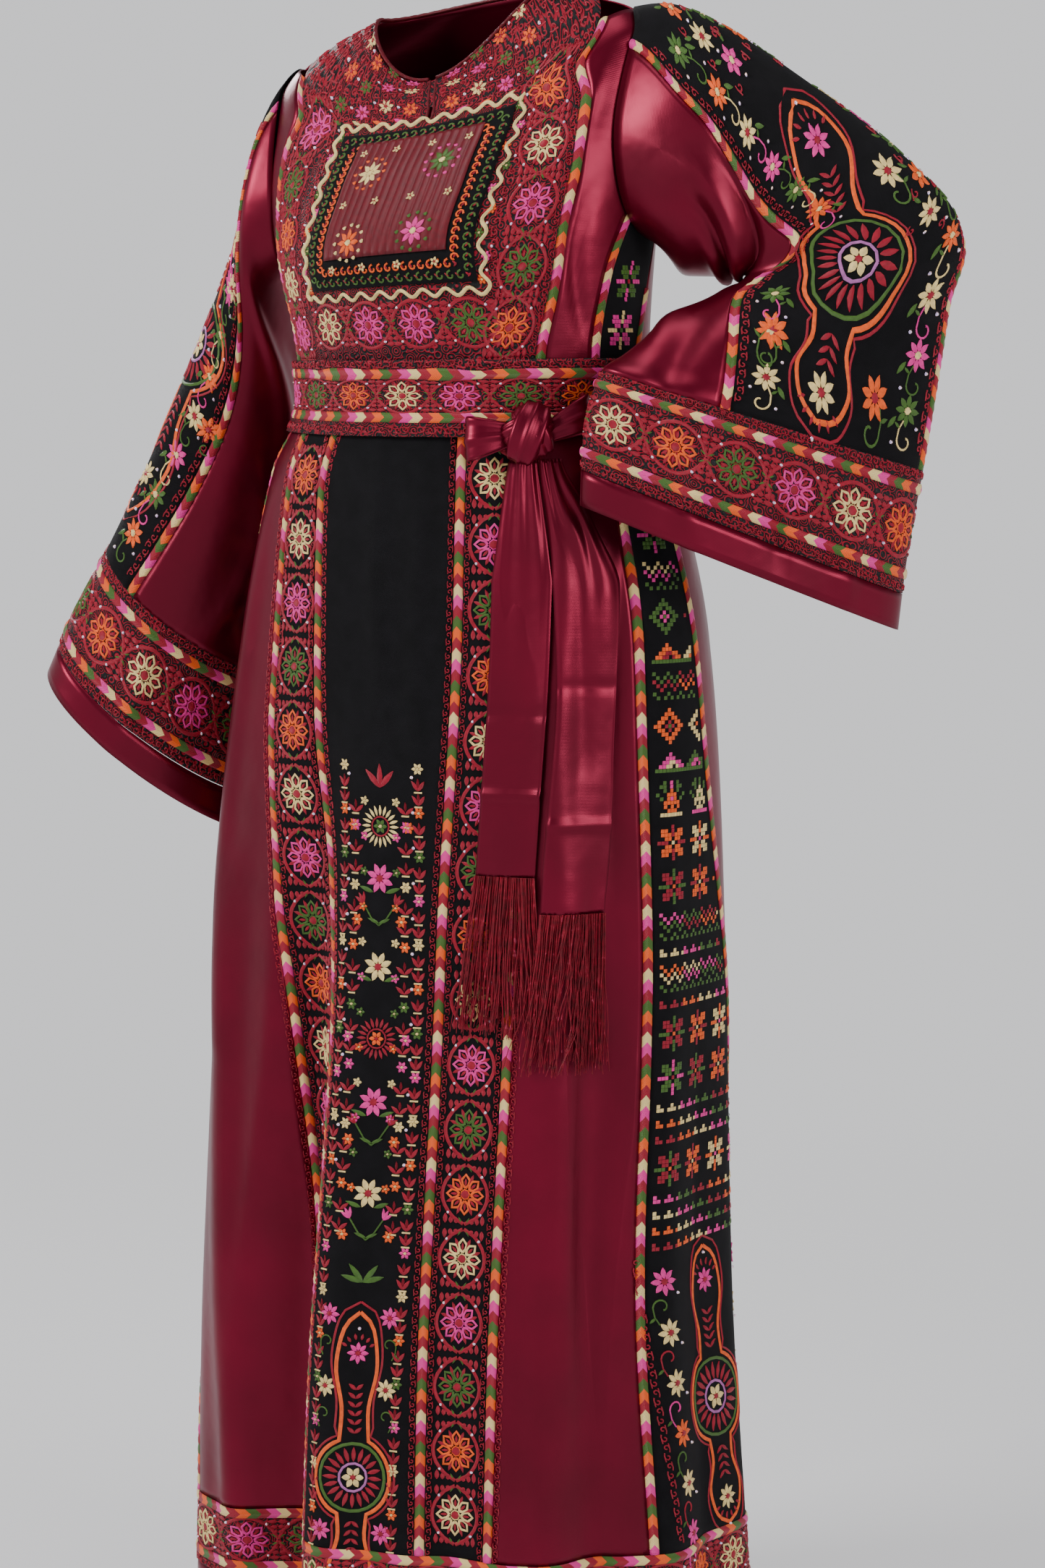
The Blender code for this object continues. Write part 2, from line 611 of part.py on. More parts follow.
def neck_cord():
    """The narrow cord round the neck and down both sides of the slit."""
    levels = [SLIT_END + SEAM, SLIT_END + SLIT_CORD - SLIT_HALF, *SLIT_LEVELS, NECK_CORD + SEAM, 0.0]
    half = BRAID / 2
    low, high = seam(BODICE_SEAMS, "right_braid", half), seam(BODICE_SEAMS, "left_braid", -half)
    front = bodice_columns(NECK_CORD, low, high)
    back = np.linspace(math.pi / 2, 3 * math.pi / 2, BACK_COLUMNS + 1)
    middle_column = len(front) // 2
    round_turns = [*front[middle_column + 1 : -1], *back, *(front[1 : middle_column - 1] + 2 * math.pi)]
    rows = []
    for level in levels:
        middle = float(BODICE_SEAMS.read("middle", level))
        spots = [turn_at(level, middle + o) for o in (-SLIT_HALF, SLIT_HALF, SLIT_CORD - SEAM / 2)]
        rows.append([*spots, *round_turns, turn_at(level, middle - SLIT_CORD + SEAM / 2) + 2 * math.pi])
    turns = np.array(rows)
    heights = np.broadcast_to(np.array(levels)[:, None], turns.shape)
    mask = np.zeros((len(levels) - 1, turns.shape[1]), bool)
    mask[:, 1] = mask[:, -1] = True
    mask[0, 0] = True
    mask[-1, 1:] = True
    outer = body_grid(heights, turns, np.full(turns.shape, NECK_THICK))
    wall("neck_cord", outer, body_grid(heights, turns, np.zeros(turns.shape)), "embroidery", mask, ring=True)


def sleeve_points(side, t, angle):
    """Points of a sleeve: t from the armhole to the cuff's edge, the angle from the top edge to the front."""
    t, angle = np.broadcast_arrays(np.asarray(t, float), np.asarray(angle, float))
    clear = np.maximum(t, ARMHOLE_BLEND)
    tube = tube_points(side, clear, angle)
    small = 1e-3
    onward = (tube_points(side, clear + small, angle) - tube) * (ARMHOLE_BLEND / small)
    over = math.radians(ARMHOLE["spread"] + SLEEVE_OVER["spread"])
    level = ARMHOLE["middle"] + (ARMHOLE["half"] + SLEEVE_OVER["half"]) * np.cos(angle)
    turn = SIDES[side] * (math.pi / 2 - over * np.sin(angle))
    hole, normals = body_frame(level, turn)
    hole = hole + normals * SLEEVE_OVER["out"]
    part = np.minimum(t / ARMHOLE_BLEND, 1)[..., None]
    start, end = (1 + 2 * part) * (1 - part) ** 2, part * part * (3 - 2 * part)
    leaving, arriving = part * (1 - part) ** 2, part * part * (part - 1)
    away = tube - hole + normals * SLEEVE_OVER["puff"]
    return start * hole + leaving * away + end * tube + arriving * onward


def tube_points(side, t, angle):
    """Points of the sleeve's tube, clear of the armhole."""
    table = SLEEVE_TABLE[side]
    top = np.stack([table.read(f"top_{axis}", t) for axis in "xyz"], -1)
    low = np.stack([table.read(f"low_{axis}", t) for axis in "xyz"], -1)
    half = (top - low) / 2
    along = unit(half)
    facing = np.array(SLEEVE_FACING[side])
    facing = unit(facing - along * (along @ facing)[..., None])
    sine, cosine = np.sin(angle)[..., None], np.cos(angle)[..., None]
    return (top + low) / 2 + half * cosine + facing * table.read("deep", t)[..., None] * sine


def sleeve_frame(side, t, angle):
    """Points and outward normals of a sleeve."""
    small = 1e-3
    t = np.asarray(t, float)
    before, after = np.clip(t - small, 0, 1), np.clip(t + small, 0, 1)
    along = sleeve_points(side, after, angle) - sleeve_points(side, before, angle)
    about = sleeve_points(side, t, angle + small) - sleeve_points(side, t, angle - small)
    points = sleeve_points(side, t, angle)
    normals = unit(np.cross(along, about))
    middle = (points + sleeve_points(side, t, angle + math.pi)) / 2
    outward = np.sign(((points - middle) * normals).sum(-1, keepdims=True))
    return points, normals * np.where(outward == 0, 1, outward)


def sleeve_angle(side, t, across):
    """The angle at a distance round the sleeve from its top edge, + to the front."""
    angles = np.linspace(-math.pi, math.pi, 361)
    ring = sleeve_points(side, t, angles)
    run = np.concatenate([[0], np.cumsum(np.linalg.norm(np.diff(ring, axis=0), axis=1))])
    run -= run[len(angles) // 2]
    return float(np.interp(across, run, angles))


def sleeve_seam(side, column, shift=0.0):
    return lambda t: sleeve_angle(side, t, float(SLEEVE_TABLE[side].read(column, t)) + shift)


def sleeve_wall(name, side, stations, low, high, columns, stuff, thick=CLOTH):
    """A wall on a sleeve between two edges, each a function from t to an angle."""
    gap = SEAM / 2 + (SLEEVE_BRAID_EASE if stuff == "braid" else 0.0)
    small = 1e-3
    angles = []
    for t in stations:
        a, b = low(t), high(t)
        at_low = float(np.linalg.norm(sleeve_points(side, t, a + small) - sleeve_points(side, t, a))) / small
        at_high = float(np.linalg.norm(sleeve_points(side, t, b) - sleeve_points(side, t, b - small))) / small
        angles.append(np.linspace(a + gap / at_low, b - gap / at_high, columns + 1))
    angles = np.array(angles)
    ts = np.broadcast_to(np.array(stations)[:, None], angles.shape)
    points, normals = sleeve_frame(side, ts, angles)
    return wall(name, points + normals * thick, points, stuff)


def sleeve_ring(name, side, rows, angles, stuff):
    """A closed ring of a sleeve. Each row gives t and how far the outer face is raised."""
    ts = np.array([row[0] for row in rows])[:, None] + 0 * angles
    raised = np.array([row[1] for row in rows])[:, None] + 0 * angles
    points, normals = sleeve_frame(side, ts, angles + 0 * ts)
    return wall(name, points + normals * (CLOTH + raised)[..., None], points, stuff, ring=True)


def sleeves():
    """On each side a black top panel with its two braids, two satin gores, a cuff band and its border."""
    half = BRAID / 2
    gap = SEAM / 2 / SLEEVE_LENGTH
    for side in SIDES:
        stations = [*SLEEVE_STATIONS[side], CUFF["band"] - gap]
        back_low, back_high = sleeve_seam(side, "panel_back", -half), sleeve_seam(side, "panel_back", half)
        front_low = sleeve_seam(side, "panel_front", -half)
        front_high = sleeve_seam(side, "panel_front", half)
        pieces = [
            ("sleeve_gore_back", lambda t: -math.pi, back_low, 5, "satin", CLOTH),
            ("sleeve_braid_back", back_low, back_high, 1, "braid", BRAID_THICK),
            ("sleeve_panel", back_high, front_low, 4, "black", CLOTH),
            ("sleeve_braid_front", front_low, front_high, 1, "braid", BRAID_THICK),
            ("sleeve_gore_front", front_high, lambda t: math.pi, 5, "satin", CLOTH),
        ]
        angles = []
        for name, low, high, columns, stuff, thick in pieces:
            sleeve_wall(f"{name}_{side}", side, stations, low, high, columns, stuff, thick)
            angles.append(np.linspace(low(CUFF["band"]), high(CUFF["band"]), columns + 1)[:-1])
        angles = np.concatenate(angles)
        ridge = BRAID_THICK - CLOTH
        rows = [(CUFF["band"] + gap, 0.0)]
        for braid in ("upper", "lower"):
            start, end = CUFF[braid]
            rows += [(start, 0.0), ((start + end) / 2, ridge), (end, 0.0)]
        rows.append((CUFF["border"] - gap, 0.0))
        sleeve_ring(f"cuff_band_{side}", side, rows, angles, "embroidery")
        sleeve_ring(f"cuff_border_{side}", side, [(CUFF["border"] + gap, 0.0), (1.0, 0.0)], angles, "satin")


def hem():
    """The medallion band with its two raised braids, and the satin border under it."""
    low = HEM_BRAID_LOW - BRAID / 2 - HEM_SCROLL
    top = HEM_BRAID_TOP + BRAID / 2 - SEAM / 2
    rows = [(low, 0.0), *braid_rows(HEM_BRAID_LOW), *braid_rows(HEM_BRAID_TOP)[:-1], (top, 0.0)]
    turns = [
        np.linspace(start(SKIRT_LEVELS[0]), end(SKIRT_LEVELS[0]), columns + 1)[:-1]
        for _, start, end, columns, _, _ in skirt_pieces()
    ]
    turns = np.concatenate(turns)
    body_ring("hem_band", rows, turns, "embroidery")
    body_ring("hem_border", [(HEM, 0.0), (low - SEAM, 0.0)], turns, "satin")


def belt():
    rows = [(BELT["low"], 0.0), *braid_rows(BELT["low_braid"]), *braid_rows(BELT["high_braid"])]
    rows.append((BELT["high"], 0.0))
    turns = np.linspace(-math.pi, math.pi, BELT_COLUMNS, endpoint=False)
    body_ring("belt", rows, turns, "embroidery", out=BELT["out"])


def place_on_body(level, across, out):
    """A point moved out from the body, with the directions along, up and out there."""
    turn = turn_at(level, across)
    point, normal = body_frame(np.array(level), np.array(turn))
    along = unit(np.cross([0, 0, 1], normal))
    return point + normal * out, along, unit(np.cross(normal, along)), normal


def sash_knot():
    """A round knot with grooves where the cloth wraps over itself."""
    centre, along, up, out = place_on_body(KNOT["level"], KNOT["across"], KNOT["out"])
    mesh = bmesh.new()
    bmesh.ops.create_uvsphere(mesh, u_segments=16, v_segments=9, radius=1)
    for vertex in mesh.verts:
        x, y, z = vertex.co
        groove = 1 - KNOT_SHAPE["groove"] * math.cos(3 * math.atan2(z, x) + 1.5 * y) ** 2
        spot = centre + along * x * KNOT_SHAPE["wide"] * groove + up * z * KNOT_SHAPE["high"] * groove
        vertex.co = spot + out * y * KNOT_SHAPE["deep"]
    add_object("sash_knot", mesh, "satin")


def sash_loop(name, start, reach, lift, depth, low, high, out):
    """A loop of the bow: a band of cloth that runs out from the knot and comes back behind itself."""
    centre, along, up, away = place_on_body(KNOT["level"], KNOT["across"] + start, out)
    spots = np.linspace(0, 2 * math.pi, LOOP_COLUMNS, endpoint=False)
    run = (1 - np.cos(spots)) / 2
    swing = np.sin(spots) * depth * (0.35 + 0.65 * run)
    rows = []
    for edge in (-1, 1):
        width = low + (high - low) * run
        spot = centre + along * (reach * run)[:, None] + away * swing[:, None]
        rows.append(spot + up * (edge * width + lift * run)[:, None])
    inner = np.array(rows)
    tangent = np.roll(inner, -1, axis=1) - np.roll(inner, 1, axis=1)
    normal = unit(np.cross(tangent, np.broadcast_to(up, tangent.shape))) * math.copysign(1, reach)
    wall(name, inner + normal * CLOTH, inner, "satin", ring=True)


def sash_tails():
    """Two flat tails that hang from the knot, each with a fringe along its lower edge."""
    for number, tail in enumerate(TAILS, 1):
        levels = np.linspace(tail["low"], TAIL_TOP, 8)
        turns = []
        for level in levels:
            half = tail["half"] * float(np.interp(level, [TAIL_TOP - 0.10, TAIL_TOP], [1.0, tail["pinch"]]))
            across = float(tail["place"].read("across", level))
            turns.append([turn_at(level, across + step * half) for step in (-1, -0.33, 0.33, 1)])
        turns = np.array(turns)
        heights = np.broadcast_to(levels[:, None], turns.shape)
        outs = np.full(turns.shape, tail["out"]) + 0.002 * np.array([0, 1, 0, 0])
        outer = body_grid(heights, turns, outs + CLOTH)
        wall(f"sash_tail_{number}", outer, body_grid(heights, turns, outs), "satin")
        fringe(f"sash_fringe_{number}", tail)


def fringe(name, tail):
    """Strands of silk under a tail, fused at their roots into a narrow strip just below its edge."""
    top = tail["low"] - SEAM
    low = top - FRINGE["strip"]
    across = float(tail["place"].read("across", tail["low"]))
    count = FRINGE["strands"]
    pitch = 2 * tail["half"] / (2 * count + 1)
    mesh = bmesh.new()
    marks = [across - tail["half"] + pitch * k for k in range(2 * count + 2)]

    def spot(level, place, out):
        turn = turn_at(level, place)
        point, normal = body_frame(np.array(level), np.array(turn))
        return point + normal * out

    back, front = tail["out"], tail["out"] + CLOTH
    grid = {}
    for k, mark in enumerate(marks):
        for high, level in enumerate((low, top)):
            for face, out in enumerate((back, front)):
                grid[k, high, face] = mesh.verts.new(spot(level, mark, out))
    for k in range(len(marks) - 1):
        mesh.faces.new([grid[k, 1, f] for f in (0, 1)] + [grid[k + 1, 1, f] for f in (1, 0)])
        for face in (0, 1):
            mesh.faces.new([grid[k, 0, face], grid[k + 1, 0, face], grid[k + 1, 1, face], grid[k, 1, face]])
        root = [grid[k, 0, 0], grid[k + 1, 0, 0], grid[k + 1, 0, 1], grid[k, 0, 1]]
        if k % 2 == 0:
            mesh.faces.new(root)
            continue
        strand = k // 2
        share = (strand + 0.5) / count * 2 - 1
        wave = math.sin(strand * 0.35)
        length = FRINGE["length"] * (1 - 0.10 * math.sin(strand * 1.7) ** 2)
        ring = root
        for step, drop in enumerate((0.06, 0.45, 1.0)):
            level = low - length * drop
            place = across + share * (tail["half"] + tail["spread"] * drop) + FRINGE["wave"] * wave * drop
            out = (back + front) / 2 + tail["lift"] * drop * (1 + math.sin(strand * 0.8 + step))
            thin = FRINGE["thick"] / 2
            corners = ((-thin, -thin), (thin, -thin), (thin, thin), (-thin, thin))
            fresh = [mesh.verts.new(spot(level, place + a, out + b)) for a, b in corners]
            for m in range(4):
                mesh.faces.new([ring[m], ring[(m + 1) % 4], fresh[(m + 1) % 4], fresh[m]])
            ring = fresh
        mesh.faces.new(ring)
    for end in (0, len(marks) - 1):
        mesh.faces.new([grid[end, 0, 0], grid[end, 0, 1], grid[end, 1, 1], grid[end, 1, 0]])
    add_object(name, mesh, "fringe")


def main():
    for old in list(bpy.data.objects):
        bpy.data.objects.remove(old, do_unlink=True)
    collection = bpy.data.collections.new(COLLECTION)
    bpy.context.scene.collection.children.link(collection)
    for name, (colour, roughness) in COLOURS.items():
        material(name, colour, roughness)
    skirt()
    bodice()
    neck_cord()
    sleeves()
    hem()
    belt()
    sash_knot()
    sash_loop("sash_loop_left", -KNOT_SHAPE["wide"] - 0.001, -0.038, -0.004, 0.006, 0.008, 0.019, 0.013)
    sash_loop("sash_loop_right", KNOT_SHAPE["wide"] + 0.001, 0.036, 0.018, 0.006, 0.008, 0.016, 0.013)
    sash_tails()


if __name__ == "__main__":
    main()
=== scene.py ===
"""The looks of the Palestinian thobe dress: fine cloth shells, embroidery, braids, sash and fringe."""

import math
import random

import bpy
import numpy as np
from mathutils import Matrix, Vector


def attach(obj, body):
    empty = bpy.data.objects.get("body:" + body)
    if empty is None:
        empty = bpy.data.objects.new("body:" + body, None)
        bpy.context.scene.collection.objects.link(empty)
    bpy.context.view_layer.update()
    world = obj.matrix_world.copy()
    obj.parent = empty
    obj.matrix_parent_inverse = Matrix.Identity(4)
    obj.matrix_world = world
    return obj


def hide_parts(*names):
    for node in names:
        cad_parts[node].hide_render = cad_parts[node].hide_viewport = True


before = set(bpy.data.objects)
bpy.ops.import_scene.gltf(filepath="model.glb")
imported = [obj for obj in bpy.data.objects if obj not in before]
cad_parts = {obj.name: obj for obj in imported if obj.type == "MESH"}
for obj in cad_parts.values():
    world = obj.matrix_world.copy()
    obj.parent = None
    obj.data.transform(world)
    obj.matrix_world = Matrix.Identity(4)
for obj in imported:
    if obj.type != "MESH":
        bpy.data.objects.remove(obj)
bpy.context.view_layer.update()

# Driving sizes in metres.
CLOTH = 0.0015
SEAM = 0.0003
BRAID = 0.0085
BRAID_THICK = 0.0034
WAIST = -0.340
HEM = -1.437
HEM_BRAID_TOP = -1.3205
HEM_BRAID_LOW = -1.3685
NECK_CORD = -0.003
SLIT_HALF = 0.0016
SLIT_CORD = 0.0040
SLIT_END = -0.070
LIFT = 0.12
LIFT_FROM, LIFT_TO = -0.33, -0.12
OVERLAY = 0.0004
CHEST_THICK = 0.0012
CHEST_HALF, RIBS_HALF = 0.083, 0.060
CHEST_LOW, CHEST_TOP = -0.243, -0.082
RIBS, RIB_BASE, RIB_RAISED = 16, 0.0008, 0.0010
NECK_THICK = 0.0032
SIDE_TOP = -0.1965
BRAID_TOP = -0.0315
HEM_SCROLL = 0.008
ARMHOLE_BLEND = 0.13
SLEEVE_LENGTH = 0.60
BELT = {"low": -0.3685, "high": -0.3030, "low_braid": -0.3525, "high_braid": -0.3145, "out": 0.0052}
KNOT = {"level": -0.368, "across": 0.108, "out": 0.0183}
TAIL_TOP = -0.388
FRINGE_LENGTH = 0.137


class Table:
    """Rows of named columns, read smoothly between the rows by the first column."""

    def __init__(self, names, rows):
        self.names = names.split()
        self.rows = np.array(sorted(rows), float)

    def read(self, name, at):
        at = np.asarray(at, float)
        x = self.rows[:, 0]
        y = self.rows[:, self.names.index(name)]
        run = np.diff(x)
        rise = np.diff(y) / run
        slope = np.empty_like(y)
        slope[0], slope[-1] = rise[0], rise[-1]
        steady = rise[:-1] * rise[1:] > 0
        mean = 2 * rise[:-1] * rise[1:] / np.where(steady, rise[:-1] + rise[1:], 1)
        slope[1:-1] = np.where(steady, mean, 0)
        at = np.clip(at, x[0], x[-1])
        i = np.clip(np.searchsorted(x, at, side="right") - 1, 0, len(x) - 2)
        t = (at - x[i]) / run[i]
        from_value = (1 + 2 * t) * (1 - t) ** 2 * y[i] + t * (1 - t) ** 2 * run[i] * slope[i]
        to_value = t * t * (3 - 2 * t) * y[i + 1] + t * t * (t - 1) * run[i] * slope[i + 1]
        return from_value + to_value


# Half width, half depth to front and back, sideways shift, and each ring's height at front and back.
BODY = Table(
    "level wide front back shift front_level back_level",
    [
        (0.000, 0.078, 0.062, 0.052, 0.000, -0.066, 0.008),
        (-0.003, 0.083, 0.0635, 0.056, 0.000, -0.0705, 0.006),
        (-0.012, 0.112, 0.066, 0.062, 0.000, -0.075, -0.004),
        (-0.030, 0.158, 0.070, 0.074, 0.000, -0.081, -0.026),
        (-0.052, 0.177, 0.077, 0.090, 0.000, -0.096, -0.052),
        (-0.100, 0.182, 0.094, 0.102, 0.000, -0.122, -0.100),
        (-0.150, 0.179, 0.118, 0.110, 0.002, -0.156, -0.150),
        (-0.215, 0.170, 0.139, 0.108, 0.004, -0.215, -0.215),
        (-0.280, 0.161, 0.130, 0.103, 0.008, -0.280, -0.280),
        (-0.340, 0.158, 0.119, 0.102, 0.009, -0.340, -0.340),
        (-0.400, 0.186, 0.121, 0.115, 0.006, -0.400, -0.400),
        (-0.545, 0.219, 0.126, 0.150, 0.004, -0.545, -0.545),
        (-0.800, 0.237, 0.143, 0.178, -0.005, -0.800, -0.800),
        (-1.100, 0.241, 0.168, 0.196, -0.007, -1.100, -1.100),
        (-1.320, 0.246, 0.184, 0.206, -0.001, -1.320, -1.320),
        (-1.437, 0.249, 0.190, 0.210, 0.002, -1.437, -1.437),
    ],
)

# The large folds: place round the body in degrees at the waist and hem, top, depth at the hem, half width.
FOLDS = [
    (-3, -9, -0.70, 0.016, 10),
    (-48, -58, -0.50, 0.012, 15),
    (17, 18, -0.48, -0.010, 10),
    (34, 36, -0.42, 0.014, 12),
    (50, 53, -0.50, -0.014, 11),
    (68, 71, -0.45, 0.010, 11),
    (86, 88, -0.60, -0.008, 10),
    (104, 106, -0.55, 0.012, 12),
    (124, 125, -0.48, -0.016, 12),
    (145, 143, -0.42, 0.022, 13),
    (167, 165, -0.50, -0.018, 12),
    (-172, -170, -0.44, 0.020, 13),
    (-150, -149, -0.52, -0.016, 12),
    (-129, -128, -0.46, 0.016, 12),
    (-106, -107, -0.58, -0.012, 12),
    (-84, -86, -0.50, 0.010, 12),
]

# The one deep fold, which swallows the right band low down: its place, depth and half width in degrees.
DEEP_FOLD = Table(
    "level place depth half",
    [
        (-0.560, -19.0, 0.000, 12.0),
        (-0.700, -19.0, -0.008, 12.0),
        (-0.870, -19.5, -0.026, 12.0),
        (-1.050, -23.0, -0.046, 14.0),
        (-1.250, -27.0, -0.056, 16.0),
        (-1.437, -29.0, -0.058, 17.0),
    ],
)

# Distance in metres from the centre front to the middle of each seam's braid, by level.
SKIRT_SEAMS = Table(
    "level right_outer right_inner left_inner left_outer",
    [
        (-0.340, -0.118, -0.070, 0.052, 0.104),
        (-0.420, -0.137, -0.088, 0.054, 0.114),
        (-0.600, -0.141, -0.083, 0.055, 0.119),
        (-0.750, -0.122, -0.060, 0.056, 0.120),
        (-0.900, -0.114, -0.052, 0.057, 0.121),
        (-1.050, -0.117, -0.055, 0.056, 0.120),
        (-1.200, -0.127, -0.065, 0.054, 0.118),
        (-1.437, -0.141, -0.079, 0.050, 0.112),
    ],
)

# The same for the bodice, with the middle of its front, which leans with the raised shoulder.
BODICE_SEAMS = Table(
    "level right_braid middle left_braid",
    [
        (-0.340, -0.142, -0.002, 0.112),
        (-0.300, -0.152, -0.004, 0.120),
        (-0.220, -0.164, -0.008, 0.147),
        (-0.160, -0.164, 0.002, 0.155),
        (-0.100, -0.152, 0.010, 0.156),
        (-0.060, -0.136, 0.011, 0.148),
        (-0.036, -0.150, 0.008, 0.166),
        (0.000, -0.180, 0.005, 0.190),
    ],
)

# The side panels' front and back edges in degrees from the centre front, for the left and right.
SIDE_PANEL = Table(
    "level left_front left_back right_front right_back",
    [
        (-0.196, 78.0, 102.0, 78.0, 102.0),
        (-0.240, 70.0, 94.0, 72.0, 94.0),
        (-0.300, 65.0, 87.0, 70.0, 88.0),
        (-0.360, 64.0, 84.0, 70.0, 88.0),
        (-0.600, 62.0, 90.0, 76.0, 98.0),
        (-0.830, 64.0, 104.0, 77.0, 108.0),
        (-1.050, 63.0, 117.0, 72.0, 118.0),
        (-1.300, 65.0, 130.0, 58.0, 130.0),
        (-1.437, 66.0, 134.0, 57.0, 134.0),
    ],
)

# The armhole, an oval in level and turn. The sleeve's own edge lies a little outside it.
ARMHOLE = {"middle": -0.123, "half": 0.086, "spread": 23.0}
SLEEVE_OVER = {"half": 0.004, "spread": 1.6, "out": 0.0036, "puff": 0.04}

# Each sleeve lies between its top edge and its underarm edge, with half its depth at the middle. The
# last two columns are the black panel's edges: distances round from the top edge, + to the front.
SLEEVE_COLUMNS = "t top_x top_y top_z low_x low_y low_z deep panel_front panel_back"
LEFT_SLEEVE = Table(
    SLEEVE_COLUMNS,
    [
        (0.000, 0.170, 0.000, -0.010, 0.172, 0.004, -0.196, 0.070, 0.045, -0.045),
        (0.100, 0.211, 0.020, -0.018, 0.200, 0.010, -0.232, 0.070, 0.112, -0.055),
        (0.220, 0.298, 0.050, -0.074, 0.238, 0.012, -0.233, 0.062, 0.142, -0.070),
        (0.360, 0.375, 0.075, -0.136, 0.262, 0.003, -0.2305, 0.055, 0.146, -0.050),
        (0.460, 0.417, 0.090, -0.187, 0.2695, -0.003, -0.235, 0.050, 0.183, -0.010),
        (0.520, 0.423, 0.090, -0.214, 0.266, -0.008, -0.241, 0.048, 0.201, 0.004),
        (0.600, 0.411, 0.090, -0.256, 0.250, -0.018, -0.2515, 0.046, 0.203, 0.010),
        (0.700, 0.404, 0.087, -0.310, 0.2215, -0.053, -0.273, 0.045, 0.203, 0.012),
        (0.800, 0.397, 0.083, -0.366, 0.199, -0.089, -0.301, 0.044, 0.205, 0.014),
        (0.860, 0.393, 0.080, -0.395, 0.188, -0.106, -0.313, 0.044, 0.207, 0.014),
        (0.950, 0.380, 0.075, -0.4795, 0.175, -0.1155, -0.3755, 0.043, 0.207, 0.014),
        (1.000, 0.374, 0.075, -0.5305, 0.173, -0.1155, -0.4235, 0.043, 0.207, 0.014),
    ],
)
RIGHT_SLEEVE = Table(
    SLEEVE_COLUMNS,
    [
        (0.000, -0.168, 0.000, -0.058, -0.175, 0.004, -0.215, 0.065, 0.045, -0.045),
        (0.100, -0.198, -0.004, -0.128, -0.188, 0.022, -0.248, 0.062, 0.062, -0.060),
        (0.250, -0.233, -0.010, -0.214, -0.197, 0.062, -0.308, 0.060, 0.072, -0.075),
        (0.420, -0.266, -0.018, -0.300, -0.210, 0.090, -0.378, 0.060, 0.067, -0.080),
        (0.600, -0.299, -0.030, -0.383, -0.227, 0.102, -0.458, 0.062, 0.058, -0.080),
        (0.750, -0.328, -0.035, -0.439, -0.240, 0.102, -0.530, 0.066, 0.055, -0.080),
        (0.860, -0.350, -0.038, -0.478, -0.249, 0.099, -0.578, 0.069, 0.053, -0.080),
        (0.950, -0.389, -0.046, -0.545, -0.255, 0.095, -0.676, 0.071, 0.053, -0.080),
        (1.000, -0.409, -0.050, -0.588, -0.256, 0.093, -0.735, 0.072, 0.053, -0.080),
    ],
)
SLEEVE_FACING = {"left": (0.469, -0.883, 0.0), "right": (0.0, -1.0, 0.0)}
SLEEVE_TABLE = {"left": LEFT_SLEEVE, "right": RIGHT_SLEEVE}
CUFF = {"band": 0.862, "upper": (0.876, 0.889), "lower": (0.948, 0.960), "border": 0.970}
# The sash's tails: place round the body, low edge, half width, pinch at the knot, spread of the fringe and
# creases, each with its height above the low edge and its rise.
TAILS = [
    {
        "place": Table("level across", [(-0.388, 0.106), (-0.50, 0.111), (-0.62, 0.112), (-0.90, 0.112)]),
        "low": -0.735,
        "half": 0.026,
        "pinch": 0.45,
        "spread": 0.012,
        "out": 0.0044,
        "creases": [(0.068, 0.0022), (0.136, -0.0012)],
    },
    {
        "place": Table("level across", [(-0.388, 0.128), (-0.50, 0.164), (-0.62, 0.170), (-0.90, 0.172)]),
        "low": -0.765,
        "half": 0.026,
        "pinch": 0.35,
        "spread": 0.008,
        "out": 0.0066,
        "creases": [(0.074, 0.0018), (0.190, -0.0010)],
    },
]
# The bow's loops: reach across, lift at the tip, half height at the knot and at the tip.
LOOPS = [("sash_loop_left", -0.038, -0.004, 0.008, 0.019), ("sash_loop_right", 0.036, 0.018, 0.008, 0.016)]
SIDES = {"left": 1, "right": -1}
FRONT_SEAMS = "right_outer", "right_inner", "left_inner", "left_outer"


def unit(v):
    return v / np.linalg.norm(v, axis=-1, keepdims=True)


def polar(radius, angle):
    """The point or points at a distance and a direction."""
    return np.stack([radius * np.cos(angle), radius * np.sin(angle)], -1)


def run_along(points):
    """The distance from the first point to each point of a line."""
    return np.concatenate([[0], np.cumsum(np.linalg.norm(np.diff(points, axis=0), axis=1))])


def all_round(rows):
    """Edges for a piece that goes all the way round: a column for each row at both ends."""
    return np.full(rows.shape, -math.pi), np.full(rows.shape, math.pi)


def ramp(value, low, high):
    t = np.clip((value - low) / (high - low), 0, 1)
    return t * t * (3 - 2 * t)


def bell(degrees, middle, half):
    away = (degrees - middle + 180) % 360 - 180
    return np.cos(np.clip(away / half, -1, 1) * math.pi / 2) ** 2


def fold_out(level, turn):
    """How far the folds push the cloth out, at levels in metres and turns in radians."""
    degrees = np.degrees(turn)
    deep = DEEP_FOLD.read("depth", level)
    total = deep * bell(degrees, DEEP_FOLD.read("place", level), DEEP_FOLD.read("half", level))
    for waist, hem_turn, top, depth, half_turn in FOLDS:
        grown = np.clip((top - level) / (top - HEM), 0, 1.05)
        middle = waist + (hem_turn - waist) * grown
        total = total + depth * grown**0.8 * bell(degrees, middle, half_turn)
    return total


